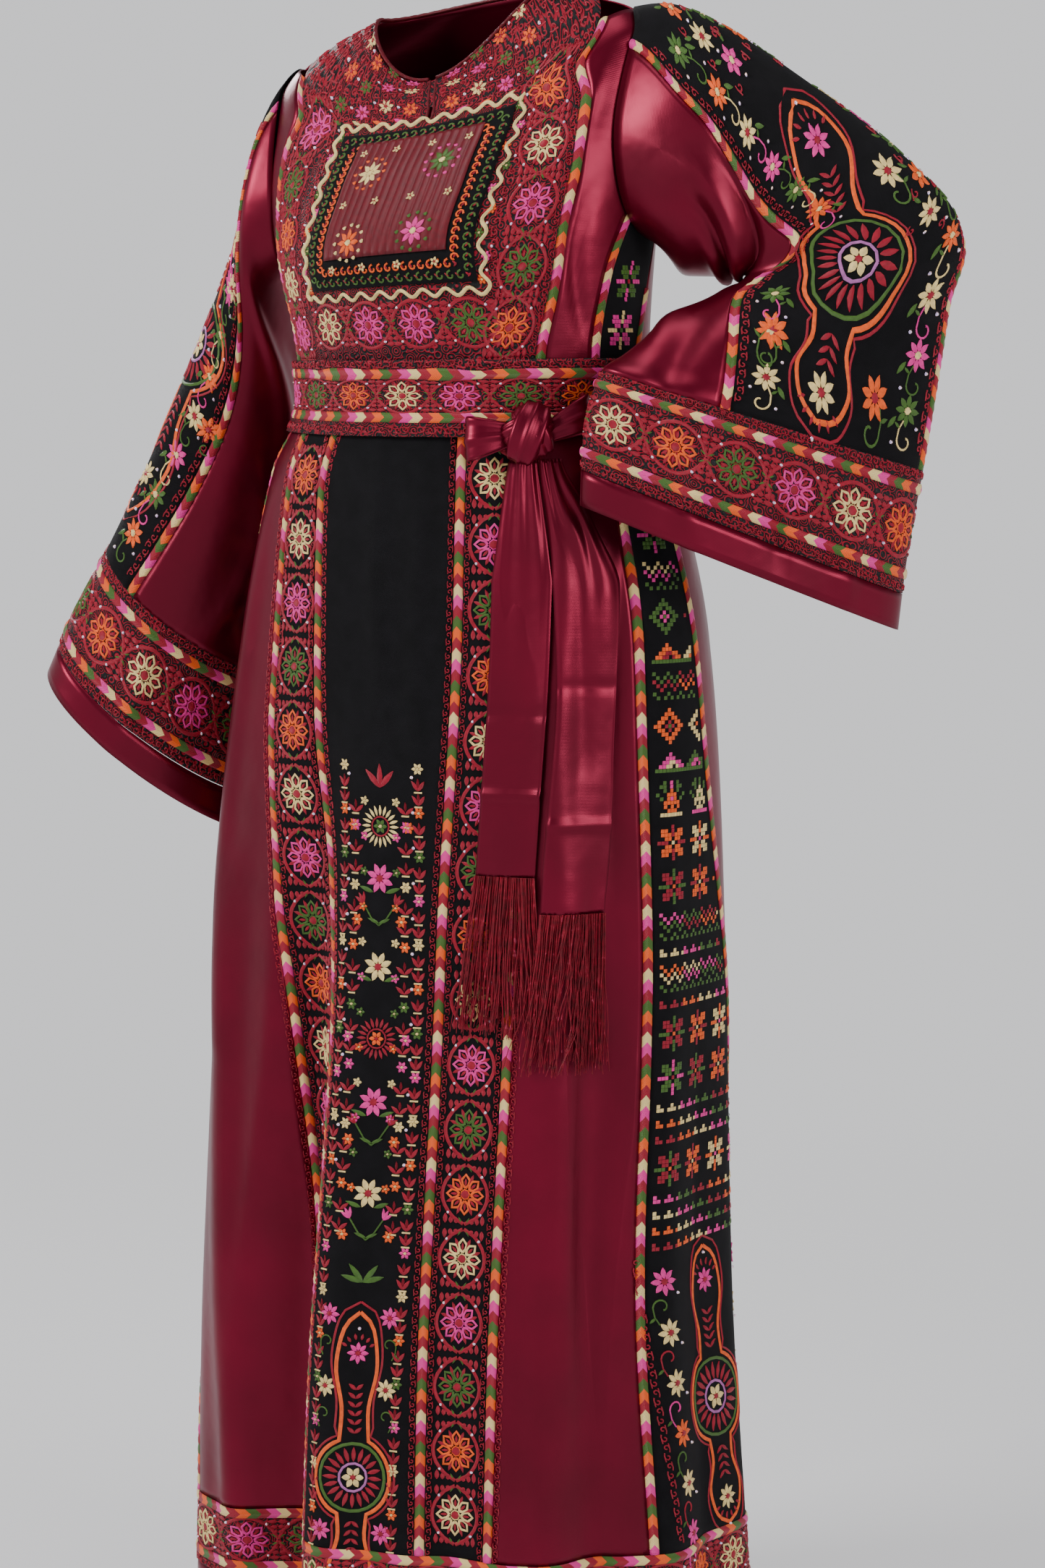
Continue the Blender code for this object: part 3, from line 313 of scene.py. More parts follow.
def body_points(level, turn):
    """Points of the cloth's inner face, at levels in metres and turns in radians from the centre front."""
    level, turn = np.broadcast_arrays(np.asarray(level, float), np.asarray(turn, float))
    sine, cosine = np.sin(turn), np.cos(turn)
    depth = np.where(cosine > 0, BODY.read("front", level), BODY.read("back", level))
    wide = BODY.read("wide", level)
    end = np.where(cosine > 0, BODY.read("front_level", level), BODY.read("back_level", level))
    push = fold_out(level, turn)
    way = unit(np.stack([sine * depth, -cosine * wide], -1))
    x = wide * sine + BODY.read("shift", level) + push * way[..., 0]
    y = -depth * cosine + push * way[..., 1]
    z = level * sine**2 + end * cosine**2 + LIFT * x * ramp(level, LIFT_FROM, LIFT_TO)
    return np.stack([x, y, z], -1)


def body_frame(level, turn):
    """Points and outward normals of the body's surface."""
    small_turn, small_level = 1e-3, 4e-4
    inside = np.clip(level, HEM + small_level, -small_level)
    along = body_points(inside, turn + small_turn) - body_points(inside, turn - small_turn)
    up = body_points(inside + small_level, turn) - body_points(inside - small_level, turn)
    return body_points(level, turn), unit(np.cross(along, up))


def sleeve_points(side, t, angle):
    """Points of a sleeve: t from the armhole to the cuff's edge, the angle from the top edge to the front."""
    t, angle = np.broadcast_arrays(np.asarray(t, float), np.asarray(angle, float))
    clear = np.maximum(t, ARMHOLE_BLEND)
    tube = tube_points(side, clear, angle)
    small = 1e-3
    onward = (tube_points(side, clear + small, angle) - tube) * (ARMHOLE_BLEND / small)
    over = math.radians(ARMHOLE["spread"] + SLEEVE_OVER["spread"])
    level = ARMHOLE["middle"] + (ARMHOLE["half"] + SLEEVE_OVER["half"]) * np.cos(angle)
    turn = SIDES[side] * (math.pi / 2 - over * np.sin(angle))
    hole, normals = body_frame(level, turn)
    hole = hole + normals * SLEEVE_OVER["out"]
    part = np.minimum(t / ARMHOLE_BLEND, 1)[..., None]
    start, end = (1 + 2 * part) * (1 - part) ** 2, part * part * (3 - 2 * part)
    leaving, arriving = part * (1 - part) ** 2, part * part * (part - 1)
    away = tube - hole + normals * SLEEVE_OVER["puff"]
    return start * hole + leaving * away + end * tube + arriving * onward


def tube_points(side, t, angle):
    """Points of the sleeve's tube, clear of the armhole."""
    table = SLEEVE_TABLE[side]
    top = np.stack([table.read(f"top_{axis}", t) for axis in "xyz"], -1)
    low = np.stack([table.read(f"low_{axis}", t) for axis in "xyz"], -1)
    half = (top - low) / 2
    along = unit(half)
    facing = np.array(SLEEVE_FACING[side])
    facing = unit(facing - along * (along @ facing)[..., None])
    sine, cosine = np.sin(angle)[..., None], np.cos(angle)[..., None]
    return (top + low) / 2 + half * cosine + facing * table.read("deep", t)[..., None] * sine


# How finely the cloth is made, in metres, and the threads' order in every piece of stitching.
ROW_STEP, TURN_COUNT, CELL = 0.0025, 2160, 0.0066
THREADS = ["crimson", "orange", "cream", "pink", "green", "lilac", "gem"]
# The medallions: length of one, the order of their colours, and pitch and scale on the bodice.
PITCH = 0.055
MEDALLION_ORDER = ["orange", "cream", "pink", "green"]
BODICE_PITCH, BODICE_SCALE = 0.047, 0.86
# The other stitching: the height of a ring and of the wavy cord, a large flower's radius, a curl's length,
# the step of the scrolls that fill the bodice, and the level beside the neck where the scrolls end.
RING_RISE, WAVE_RISE = 0.0009, 0.0028
FLOWER = 0.0125
CURL = 0.008
GROUND_STEP = 0.0088
SCROLL_TOP = -0.045
# A braid that is laid on a band, and how far apart its plaits are.
FLAT_BRAID, PLAIT = 0.002, 0.009


class Grid:
    """A surface on a fine grid: a row for each level or t, a column for each turn or angle."""

    def __init__(self, rows, columns, points, middle):
        self.rows, self.columns, self.points = rows, columns, points
        steps = np.linalg.norm(np.diff(points, axis=1), axis=2)
        run = np.concatenate([np.zeros((len(rows), 1)), np.cumsum(steps, axis=1)], axis=1)
        zero = int(np.argmin(np.abs(columns)))
        self.run = run - run[:, zero : zero + 1]
        self.reach = np.arange(self.run.min(), self.run.max(), 0.002)
        self.inverse = np.array([np.interp(self.reach, row, columns) for row in self.run])
        self.finish()
        line = self.at(rows, self.column_at(rows, np.array([float(middle(row)) for row in rows])))[0]
        self.height = run_along(line)

    def finish(self):
        """Works out the normals and turns them outwards."""
        about, along = np.gradient(self.points, axis=1), np.gradient(self.points, axis=0)
        normals = np.cross(about, along)
        self.normals = normals / np.maximum(np.linalg.norm(normals, axis=2, keepdims=True), 1e-12)
        centre = self.points.mean(axis=1, keepdims=True)
        if ((self.points - centre) * self.normals).sum(-1).mean() < 0:
            self.normals = -self.normals

    def spot(self, table, row, column, columns):
        """Reads a table smoothly between the grid's rows and columns."""
        i = np.clip(np.interp(row, self.rows, np.arange(len(self.rows))), 0, len(self.rows) - 1.000001)
        j = np.clip((column - columns[0]) / (columns[1] - columns[0]), 0, len(columns) - 1.000001)
        i0, j0 = i.astype(int), j.astype(int)
        a, b = i - i0, j - j0
        if table.ndim == 3:
            a, b = a[..., None], b[..., None]
        low = table[i0, j0] * (1 - b) + table[i0, j0 + 1] * b
        high = table[i0 + 1, j0] * (1 - b) + table[i0 + 1, j0 + 1] * b
        return low * (1 - a) + high * a

    def at(self, row, column):
        row, column = np.broadcast_arrays(np.asarray(row, float), np.asarray(column, float))
        points = self.spot(self.points, row, column, self.columns)
        return points, self.spot(self.normals, row, column, self.columns)

    def column_at(self, row, across):
        row, across = np.broadcast_arrays(np.asarray(row, float), np.asarray(across, float))
        return self.spot(self.inverse, row, across, self.reach)

    def across_at(self, row, column):
        row, column = np.broadcast_arrays(np.asarray(row, float), np.asarray(column, float))
        return self.spot(self.run, row, column, self.columns)

    def row_at(self, height):
        return np.interp(height, self.height, self.rows)

    def height_at(self, row):
        return np.interp(row, self.rows, self.height)

    def crease(self, marks):
        """Soft ridges and troughs: start and end as (metres round, row), then width and rise."""
        heights = np.broadcast_to(self.height[:, None], self.run.shape)
        push = np.zeros(self.run.shape)
        for from_across, from_row, to_across, to_row, width, rise in marks:
            start, end = self.height_at(from_row), self.height_at(to_row)
            low = int(np.searchsorted(self.height, min(start, end) - 3 * width))
            high = int(np.searchsorted(self.height, max(start, end) + 3 * width))
            x, y = self.run[low:high], heights[low:high]
            length = math.hypot(to_across - from_across, end - start)
            ux, uy = (to_across - from_across) / length, (end - start) / length
            along = ((x - from_across) * ux + (y - start) * uy) / length
            off = (x - from_across) * uy - (y - start) * ux - width * 0.8 * np.sin(along * 3.0)
            inside = np.clip(along, 0, 1)
            past = (along - inside) * length
            swell = np.sin(np.pi * (inside * 0.9 + 0.05)) ** 0.7
            push[low:high] += rise * swell * np.exp(-(off**2 + past**2) / width**2)
        self.points = self.points + self.normals * push[..., None]
        self.finish()


def height_of(grid, row):
    return float(grid.height_at(row))


def steps_between(low, high, step):
    return np.linspace(low, high, max(2, int(math.ceil((high - low) / step)) + 1))


def mesh_of(name, points, faces, uv=None, kinds=None):
    """A smooth mesh from arrays, with a UV map in metres where there is a uv for each point."""
    data = bpy.data.meshes.new(name)
    data.from_pydata(points.tolist(), [], faces)
    if uv is not None:
        layer = data.uv_layers.new(name="Metres")
        corners = np.empty(len(data.loops), dtype=np.int32)
        data.loops.foreach_get("vertex_index", corners)
        layer.data.foreach_set("uv", np.asarray(uv)[corners].astype(np.float32).ravel())
    if kinds is not None:
        data.polygons.foreach_set("material_index", np.asarray(kinds, dtype=np.int32))
    data.polygons.foreach_set("use_smooth", np.ones(len(data.polygons), dtype=bool))
    data.update()
    return data


def add_piece(data, name, stuff, replaces=()):
    """Puts a mesh in the scene as a piece of the dress."""
    made = bpy.data.objects.new(name, data)
    bpy.context.scene.collection.objects.link(made)
    for item in stuff if isinstance(stuff, list) else [stuff]:
        data.materials.append(item)
    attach(made, "root")
    if replaces:
        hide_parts(*replaces)
    return made


def shell(name, outer, inner, uv, cells=None):
    """A closed thin shell between two grids of points."""
    rows, columns = outer.shape[:2]
    if cells is None:
        cells = np.ones((rows - 1, columns - 1), bool)
    front = np.arange(rows * columns).reshape(rows, columns)
    back = front + rows * columns
    quads = np.argwhere(cells)
    i, j = quads[:, 0], quads[:, 1]
    faces = np.stack([front[i, j], front[i, j + 1], front[i + 1, j + 1], front[i + 1, j]], 1).tolist()
    faces += np.stack([back[i + 1, j], back[i + 1, j + 1], back[i, j + 1], back[i, j]], 1).tolist()
    around = np.pad(cells, 1)
    for (down, aside), a, b in (
        ((-1, 0), (0, 0), (0, 1)),
        ((0, 1), (0, 1), (1, 1)),
        ((1, 0), (1, 1), (1, 0)),
        ((0, -1), (1, 0), (0, 0)),
    ):
        rim = quads[~around[quads[:, 0] + 1 + down, quads[:, 1] + 1 + aside]]
        start = rim[:, 0] + a[0], rim[:, 1] + a[1]
        end = rim[:, 0] + b[0], rim[:, 1] + b[1]
        faces += np.stack([front[end], front[start], back[start], back[end]], 1).tolist()
    points = np.concatenate([outer.reshape(-1, 3), inner.reshape(-1, 3)])
    return mesh_of(name, points, faces, np.concatenate([uv.reshape(-1, 2)] * 2))


def panel(grid, name, rows, low, high, stuff, slot, out=0.0, thick=CLOTH, levels=None, cells=None):
    """A cloth panel between two edges, each an array of columns with a value for each row."""
    widths = np.abs(grid.across_at(rows, high) - grid.across_at(rows, low))
    count = max(2, int(round(float(widths.max()) / CELL)))
    share = np.linspace(0, 1, count + 1)
    columns = low[:, None] * (1 - share) + high[:, None] * share
    spots = np.broadcast_to(rows[:, None], columns.shape)
    if levels is not None:
        spots = levels(rows[:, None], columns)
    points, normals = grid.at(spots, columns)
    heights = grid.height_at(spots)
    uv = np.stack([grid.across_at(spots, columns), heights], -1)
    hidden = None if cells is None else cells(spots, columns)
    data = shell(name, points + normals * (out + thick), points + normals * out, uv, hidden)
    made = add_piece(data, name, stuff, [name])
    return made


def braid(grid, name, rows, columns, upright, stuff, out=0.0, replaces=(), width=BRAID, thick=BRAID_THICK):
    """A rounded chevron braid along a line of rows and columns on a surface."""
    shares = np.array([-1, -0.55, 0, 0.55, 1])
    if upright:
        across = grid.across_at(rows, columns)[:, None] + shares * width / 2
        spot_rows = np.broadcast_to(rows[:, None], across.shape)
        spot_columns = grid.column_at(spot_rows, across)
        spot_columns = spot_columns + (columns - spot_columns[:, 2])[:, None]
    else:
        spot_rows = grid.row_at(grid.height_at(rows)[:, None] + shares * width / 2)
        spot_columns = np.broadcast_to(columns[:, None], spot_rows.shape)
    points, normals = grid.at(spot_rows, spot_columns)
    length = run_along(points[:, 2])[:, None]
    uv = np.stack(np.broadcast_arrays(length, shares), -1)
    bulge = 1 + 0.10 * np.cos((length + np.abs(shares) * 0.0045) * 2 * math.pi / PLAIT)
    rise = thick * (1 - 0.62 * np.abs(shares) ** 2.5) * bulge
    data = shell(name, points + normals * (out + rise)[..., None], points + normals * out, uv)
    return add_piece(data, name, stuff, replaces)


class Stitches:
    """Raised stitching laid out flat: x, y and height for each point, and a thread for each face."""

    def __init__(self):
        self.points, self.faces, self.kinds, self.count = [], [], [], 0

    def add(self, points, faces, kinds):
        self.points.append(points)
        self.faces.append(np.asarray(faces) + self.count)
        self.kinds.append(np.asarray(kinds))
        self.count += len(points)

    def strip(self, path, widths, thread, rise=0.0010, base=0.0002):
        """A padded line of satin stitch along a path, with its own width at each point."""
        path = np.asarray(path, float)
        n = len(path)
        tangent = np.gradient(path, axis=0)
        tangent /= np.maximum(np.linalg.norm(tangent, axis=1, keepdims=True), 1e-9)
        side = np.stack([-tangent[:, 1], tangent[:, 0]], 1) * (np.broadcast_to(widths, n) / 2)[:, None]
        low = np.full((n, 1), base)
        ridge = np.hstack([path, low + rise])
        edges = [np.hstack([path + side, low]), ridge, np.hstack([path - side, low])]
        points = np.stack(edges, 1).reshape(-1, 3)
        start = np.arange(n - 1)[:, None] * 3
        faces = np.concatenate([start + [0, 1, 4, 3], start + [1, 2, 5, 4]])
        self.add(points, faces, np.full(len(faces), THREADS.index(thread)))

    def leaf(self, x, y, angle, length, width, thread, rise=0.0010):
        share = np.array([0.0, 0.22, 0.5, 0.78, 1.0])
        path = np.stack([x + np.cos(angle) * length * share, y + np.sin(angle) * length * share], 1)
        self.strip(path, width * np.array([0.15, 0.8, 1.0, 0.65, 0.05]), thread, rise)

    def ring(self, radius, width, thread, points=14):
        self.strip(polar(radius, np.linspace(0, 2 * math.pi, points)), width, thread, RING_RISE)

    def curl(self, turns, radii, count, width, thread, way=1):
        """A line that winds from one turn and radius to the other, mirrored where way is -1."""
        path = polar(np.linspace(*radii, count), np.linspace(*turns, count))
        self.strip(path * [way, 1], width, thread)

    def disc(self, x, y, radius, thread, rise=0.0012):
        share = np.array([-1, -0.7, 0, 0.7, 1.0])
        path = np.stack([x + share * radius, np.full(5, y)], 1)
        self.strip(path, 2 * radius * np.sqrt(1.02 - share**2), thread, rise)

    def gem(self, x, y, radius=0.0016):
        turn = np.arange(6) * math.pi / 3
        rim = np.stack([x + radius * np.cos(turn), y + radius * np.sin(turn), np.full(6, 0.0004)], 1)
        table = rim * [0.5, 0.5, 0] + [x * 0.5, y * 0.5, 0.0020]
        faces = [[k, (k + 1) % 6, 6 + (k + 1) % 6, 6 + k] for k in range(6)]
        faces += [[6, 7, 8, 9], [6, 9, 10, 11]]
        self.add(np.concatenate([rim, table]), faces, np.full(len(faces), THREADS.index("gem")))

    def flower(self, x, y, radius, petals, thread, heart, turn=0.0):
        for k in range(petals):
            angle = turn + 2 * math.pi * k / petals
            start = radius * 0.22
            width = min(radius * 0.62, 3.3 * radius / petals)
            spot = x + start * math.cos(angle), y + start * math.sin(angle)
            self.leaf(*spot, angle, radius - start, width, thread)
        self.disc(x, y, radius * 0.26, heart)

    def place(self, motif, x, y, angle=0.0, scale=1.0, tall=1.0):
        """Lays a copy of another piece of stitching here, stretched by tall along its own y."""
        cosine, sine = math.cos(angle) * scale, math.sin(angle) * scale
        points, faces, kinds = motif.whole()
        fresh = points.copy()
        fresh[:, 0] = x + points[:, 0] * cosine - points[:, 1] * tall * sine
        fresh[:, 1] = y + points[:, 0] * sine + points[:, 1] * tall * cosine
        self.add(fresh, faces, kinds)

    def whole(self):
        if len(self.points) != 1:
            self.points = [np.concatenate(self.points)]
            self.faces = [np.concatenate(self.faces)]
            self.kinds = [np.concatenate(self.kinds)]
        return self.points[0], self.faces[0], self.kinds[0]


def sew(name, grid, stitches, out, place):
    """Lays flat stitching on a surface. place turns its x and y into the surface's rows and columns."""
    points, faces, kinds = stitches.whole()
    rows, columns = place(points[:, 0], points[:, 1])
    base, normals = grid.at(rows, columns)
    laid = base + normals * (out + points[:, 2])[:, None]
    data = mesh_of(name, laid, faces.tolist(), points[:, :2], kinds)
    return add_piece(data, name, THREAD_STUFF)


def medallion(colour):
    """An eight-petalled flower in an almond frame, with leaves and stones where the frames cross."""
    made = Stitches()
    share = np.array([0.0, 0.22, 0.6, 1.0, 0.6, 0.22, 0.0])
    wide = np.array([0.0, 0.0030, 0.0042, 0.0, -0.0042, -0.0030, 0.0])
    for k in range(8):
        angle = math.pi / 4 * k
        along = np.array([math.cos(angle), math.sin(angle)])
        aside = np.array([-math.sin(angle), math.cos(angle)])
        made.strip((0.0060 + 0.0124 * share)[:, None] * along + wide[:, None] * aside, 0.0025, colour)
        made.leaf(*(along * 0.0080), angle, 0.0070, 0.0026, "crimson", rise=0.0005)
        between = angle + math.pi / 8
        made.leaf(0.0105 * math.cos(between), 0.0105 * math.sin(between), between, 0.0098, 0.0036, "crimson")
    made.disc(0, 0, 0.0044, "crimson")
    made.ring(0.0046, 0.0012, colour, points=8)
    share = np.linspace(-1, 1, 11)
    bow = 0.0225 * np.cos(share * math.pi / 2) ** 0.65
    for side in (-1, 1):
        made.strip(np.stack([side * (bow + 0.0006), share * PITCH / 2], 1), 0.0034, "crimson")
        for end in (-1, 1):
            y = end * PITCH / 2
            for reach in (0.0080, 0.0135, 0.0190):
                made.leaf(side * reach, y - end * 0.0002, -end * math.pi / 2, reach * 0.48, 0.0046, "crimson")
            made.leaf(side * 0.0022, y, -end * math.pi / 2 + side * end * 0.5, 0.0070, 0.0022, "green")
        made.gem(side * 0.0165, PITCH / 2 - 0.0100)
        made.gem(side * 0.0165, 0.0100 - PITCH / 2)
    return made


def scroll_unit():
    """One curl of a running scroll, 8 mm long and 6 mm wide."""
    made = Stitches()
    made.curl((-0.5 * math.pi, 1.2 * math.pi), (0.0028, 0.0009), 8, 0.0013, "crimson")
    made.strip([(-0.0040, -0.0024), (-0.0015, -0.0030), (0.0, -0.0028), (0.0040, -0.0024)], 0.0012, "crimson")
    return made


def colour_of(red, green, blue):
    """A linear colour from display values of 0 to 255."""
    parts = [value / 255 for value in (red, green, blue)]
    return tuple(p / 12.92 if p <= 0.04045 else ((p + 0.055) / 1.055) ** 2.4 for p in parts) + (1.0,)


SATIN, BLACK, CRIMSON = colour_of(104, 2, 34), colour_of(7, 6, 8), colour_of(146, 0, 34)
ORANGE, CREAM, PINK = colour_of(232, 88, 14), colour_of(228, 200, 132), colour_of(222, 44, 140)
GREEN, LILAC = colour_of(62, 96, 28), colour_of(170, 96, 160)
CHEVRON_ORDER = [PINK, CREAM, CRIMSON, ORANGE, GREEN, CRIMSON]


class Shader:
    """A material's nodes, added one after another."""

    def __init__(self, name):
        self.material = bpy.data.materials.new(name)
        self.material.use_nodes = True
        self.nodes, self.links = self.material.node_tree.nodes, self.material.node_tree.links
        self.main = self.nodes["Principled BSDF"]

    def node(self, kind, inputs=None, **settings):
        made = self.nodes.new(kind)
        for key, value in settings.items():
            setattr(made, key, value)
        for key, value in (inputs or {}).items():
            self.feed(made.inputs[key], value)
        return made

    def feed(self, socket, value):
        if isinstance(value, bpy.types.NodeSocket):
            self.links.new(value, socket)
        else:
            socket.default_value = value

    def maths(self, operation, *values):
        return self.node("ShaderNodeMath", dict(enumerate(values)), operation=operation).outputs[0]

    def noise(self, scale, detail):
        where = self.node("ShaderNodeTexCoord").outputs["Object"]
        inputs = {"Vector": where, "Scale": scale, "Detail": detail}
        return self.node("ShaderNodeTexNoise", inputs).outputs["Fac"]

    def metres(self):
        uv = self.node("ShaderNodeUVMap", uv_map="Metres").outputs[0]
        split = self.node("ShaderNodeSeparateXYZ", {0: uv})
        return split.outputs[0], split.outputs[1]

    def ramp(self, factor, stops, mode="LINEAR"):
        made = self.node("ShaderNodeValToRGB", {"Fac": factor})
        made.color_ramp.interpolation = mode
        points = made.color_ramp.elements
        while len(points) < len(stops):
            points.new(0.5)
        for point, (place, colour) in zip(points, stops):
            point.position = place
            point.color = colour
        return made.outputs[0]

    def bump(self, height, strength, distance, normal=None):
        inputs = {"Height": height, "Strength": strength, "Distance": distance}
        if normal is not None:
            inputs["Normal"] = normal
        return self.node("ShaderNodeBump", inputs).outputs[0]

    def finish(self, colour, roughness, sheen=0.0, normal=None, **extra):
        self.feed(self.main.inputs["Base Color"], colour)
        self.feed(self.main.inputs["Roughness"], roughness)
        self.main.inputs["Sheen Weight"].default_value = sheen
        for key, value in extra.items():
            self.main.inputs[key.replace("_", " ")].default_value = value
        if normal is not None:
            self.feed(self.main.inputs["Normal"], normal)
        return self.material


def darker(colour, share):
    return tuple(value * share for value in colour[:3]) + (1.0,)


def satin_material():
    """Heavy satin: a bright sheen along the folds, a fine weave and a slight crumple."""
    shader = Shader("satin")
    v = shader.metres()[1]
    crumple = shader.noise(14, 3)
    weave = shader.maths("SINE", shader.maths("MULTIPLY", v, 2 * math.pi / 0.0012))
    soft = shader.bump(crumple, 0.35, 0.006)
    normal = shader.bump(weave, 0.05, 0.0002, soft)
    colour = shader.ramp(shader.noise(9, 4), [(0.3, darker(SATIN, 0.8)), (0.7, darker(SATIN, 1.15))])
    return shader.finish(colour, 0.34, 0.0, normal, Metallic=0.74, Anisotropic=0.35)


def black_material():
    """Black cotton with an even weave."""
    shader = Shader("black_cloth")
    u, v = shader.metres()
    across = shader.maths("SINE", shader.maths("MULTIPLY", u, 2 * math.pi / 0.0011))
    along = shader.maths("SINE", shader.maths("MULTIPLY", v, 2 * math.pi / 0.0011))
    normal = shader.bump(shader.maths("MULTIPLY", across, along), 0.5, 0.0003)
    normal = shader.bump(shader.noise(18, 2), 0.2, 0.004, normal)
    colour = shader.ramp(shader.noise(60, 3), [(0.3, BLACK), (0.8, darker(BLACK, 2.2))])
    return shader.finish(colour, 0.8, 0.02, normal, Specular_IOR_Level=0.12)


def ground_material():
    """Black cotton closely covered with winding crimson cord."""
    shader = Shader("couched_ground")
    u, v = shader.metres()
    where = shader.node("ShaderNodeCombineXYZ", {0: u, 1: v}).outputs[0]
    cells = shader.node("ShaderNodeTexVoronoi", {"Vector": where, "Scale": 125.0, "Randomness": 0.75})
    rings = shader.maths("SINE", shader.maths("MULTIPLY", cells.outputs["Distance"], 27.0))
    colour = shader.ramp(rings, [(0.22, BLACK), (0.50, darker(CRIMSON, 0.85))])
    normal = shader.bump(rings, 0.8, 0.0006)
    return shader.finish(colour, 0.55, 0.02, normal, Specular_IOR_Level=0.25)


def thread_material(name, colour, sheen=0.03):
    """Silk thread: fine raised stitches and a little change of shade from stitch to stitch."""
    shader = Shader(name)
    u, v = shader.metres()
    both = shader.maths("ADD", u, v)
    rows = shader.maths("SINE", shader.maths("MULTIPLY", both, 2 * math.pi / 0.0010))
    normal = shader.bump(rows, 0.45, 0.0003)
    shade = shader.ramp(shader.noise(240, 2), [(0.25, darker(colour, 0.72)), (0.75, darker(colour, 1.15))])
    return shader.finish(shade, 0.46, sheen, normal, Specular_IOR_Level=0.35)


def gem_material():
    """Faceted rhinestones with a shifting pale glint."""
    shader = Shader("rhinestone")
    facing = shader.node("ShaderNodeLayerWeight", {"Blend": 0.4}).outputs["Facing"]
    # painted glint: pale tints in the base colour, chosen by how squarely each face looks at the camera
    glints = colour_of(250, 244, 250), colour_of(206, 186, 240), colour_of(250, 214, 190)
    stops = list(zip((0.0, 0.5, 1.0), glints))
    colour = shader.ramp(shader.maths("ADD", facing, shader.noise(300, 1)), stops)
    return shader.finish(colour, 0.08, Metallic=0.35, Coat_Weight=1.0)


def braid_material():
    """Plaited cord: chevrons of coloured thread that repeat along its length."""
    shader = Shader("chevron_braid")
    length, across = shader.metres()
    lean = shader.maths("MULTIPLY", shader.maths("ABSOLUTE", across), 0.0050)
    place = shader.maths("DIVIDE", shader.maths("ADD", length, lean), 0.054)
    stripe = shader.maths("FRACT", place)
    count = len(CHEVRON_ORDER)
    colours = shader.ramp(stripe, [(k / count, colour) for k, colour in enumerate(CHEVRON_ORDER)], "CONSTANT")
    thread = shader.maths("SINE", shader.maths("MULTIPLY", place, 2 * math.pi * 36))
    normal = shader.bump(thread, 0.6, 0.0004)
    return shader.finish(colours, 0.48, 0.08, normal, Specular_IOR_Level=0.35)


def fringe_material():
    """Twisted silk fringe with lighter glints."""
    shader = Shader("fringe_silk")
    # the pale pink stop is a painted glint at random spots; the two crimson stops vary the silk's tone at
    # random
    stops = [(0.3, darker(CRIMSON, 0.35)), (0.66, darker(CRIMSON, 0.8)), (0.84, colour_of(200, 80, 112))]
    colour = shader.ramp(shader.noise(160, 2), stops)
    normal = shader.bump(shader.noise(900, 1), 0.3, 0.0004)
    return shader.finish(colour, 0.45, 0.0, normal, Specular_IOR_Level=0.3)


satin, black, chevron, silk = satin_material(), black_material(), braid_material(), fringe_material()
ground, rib_silk = ground_material(), thread_material("rib_silk", darker(CRIMSON, 0.42), 0.0)
THREAD_STUFF = [
    thread_material("thread_crimson", CRIMSON),
    thread_material("thread_orange", ORANGE),
    thread_material("thread_cream", CREAM),
    thread_material("thread_pink", PINK),
    thread_material("thread_green", GREEN),
    thread_material("thread_lilac", LILAC),
    gem_material(),
]

body_rows = steps_between(HEM, 0.0, ROW_STEP)
body_turns = np.linspace(-math.pi, 2 * math.pi, TURN_COUNT + 1)
body = Grid(body_rows, body_turns, body_points(body_rows[:, None], body_turns[None, :]), lambda level: 0.0)
# Creases as (metres round, level) at both ends, then width and rise.
BODY_CREASES = [
    (-0.175, -0.42, -0.205, -0.90, 0.015, 0.008),
    (-0.225, -0.40, -0.240, -0.78, 0.013, -0.006),
    (-0.185, -0.75, -0.215, -1.35, 0.020, 0.010),
    (0.148, -0.40, 0.160, -0.78, 0.012, 0.006),
    (0.196, -0.42, 0.205, -0.74, 0.011, -0.005),
    (0.172, -0.66, 0.190, -1.20, 0.017, 0.008),
    (0.150, -0.95, 0.158, -1.40, 0.014, -0.006),
    (0.232, -0.90, 0.245, -1.38, 0.016, 0.007),
    (-0.020, -0.37, -0.012, -0.60, 0.010, 0.003),
    (0.020, -0.38, 0.026, -0.66, 0.009, 0.003),
    (0.020, -0.315, 0.090, -0.295, 0.006, 0.002),
    (-0.100, -0.305, -0.040, -0.312, 0.006, 0.002),
    (0.165, -0.075, 0.155, -0.165, 0.008, 0.004),
    (0.170, -0.180, 0.160, -0.290, 0.008, -0.004),
    (-0.175, -0.090, -0.172, -0.200, 0.008, 0.003),
    (0.480, -0.40, 0.540, -0.95, 0.020, 0.009),
    (0.640, -0.42, 0.690, -1.10, 0.022, 0.010),
    (0.780, -0.45, 0.850, -1.20, 0.022, 0.009),
    (0.410, -0.40, 0.500, -1.02, 0.018, -0.010),
    (0.455, -0.39, 0.600, -1.27, 0.024, 0.013),
    (0.520, -0.41, 0.730, -1.29, 0.020, -0.011),
    (0.560, -0.39, 0.900, -1.20, 0.022, 0.013),
    (0.600, -0.42, 0.960, -1.02, 0.016, -0.008),
    (0.380, -0.28, 0.450, -0.12, 0.012, 0.006),
    (0.500, -0.27, 0.455, -0.10, 0.014, -0.006),
    (0.570, -0.29, 0.545, -0.15, 0.011, 0.006),
]
body.crease(BODY_CREASES)

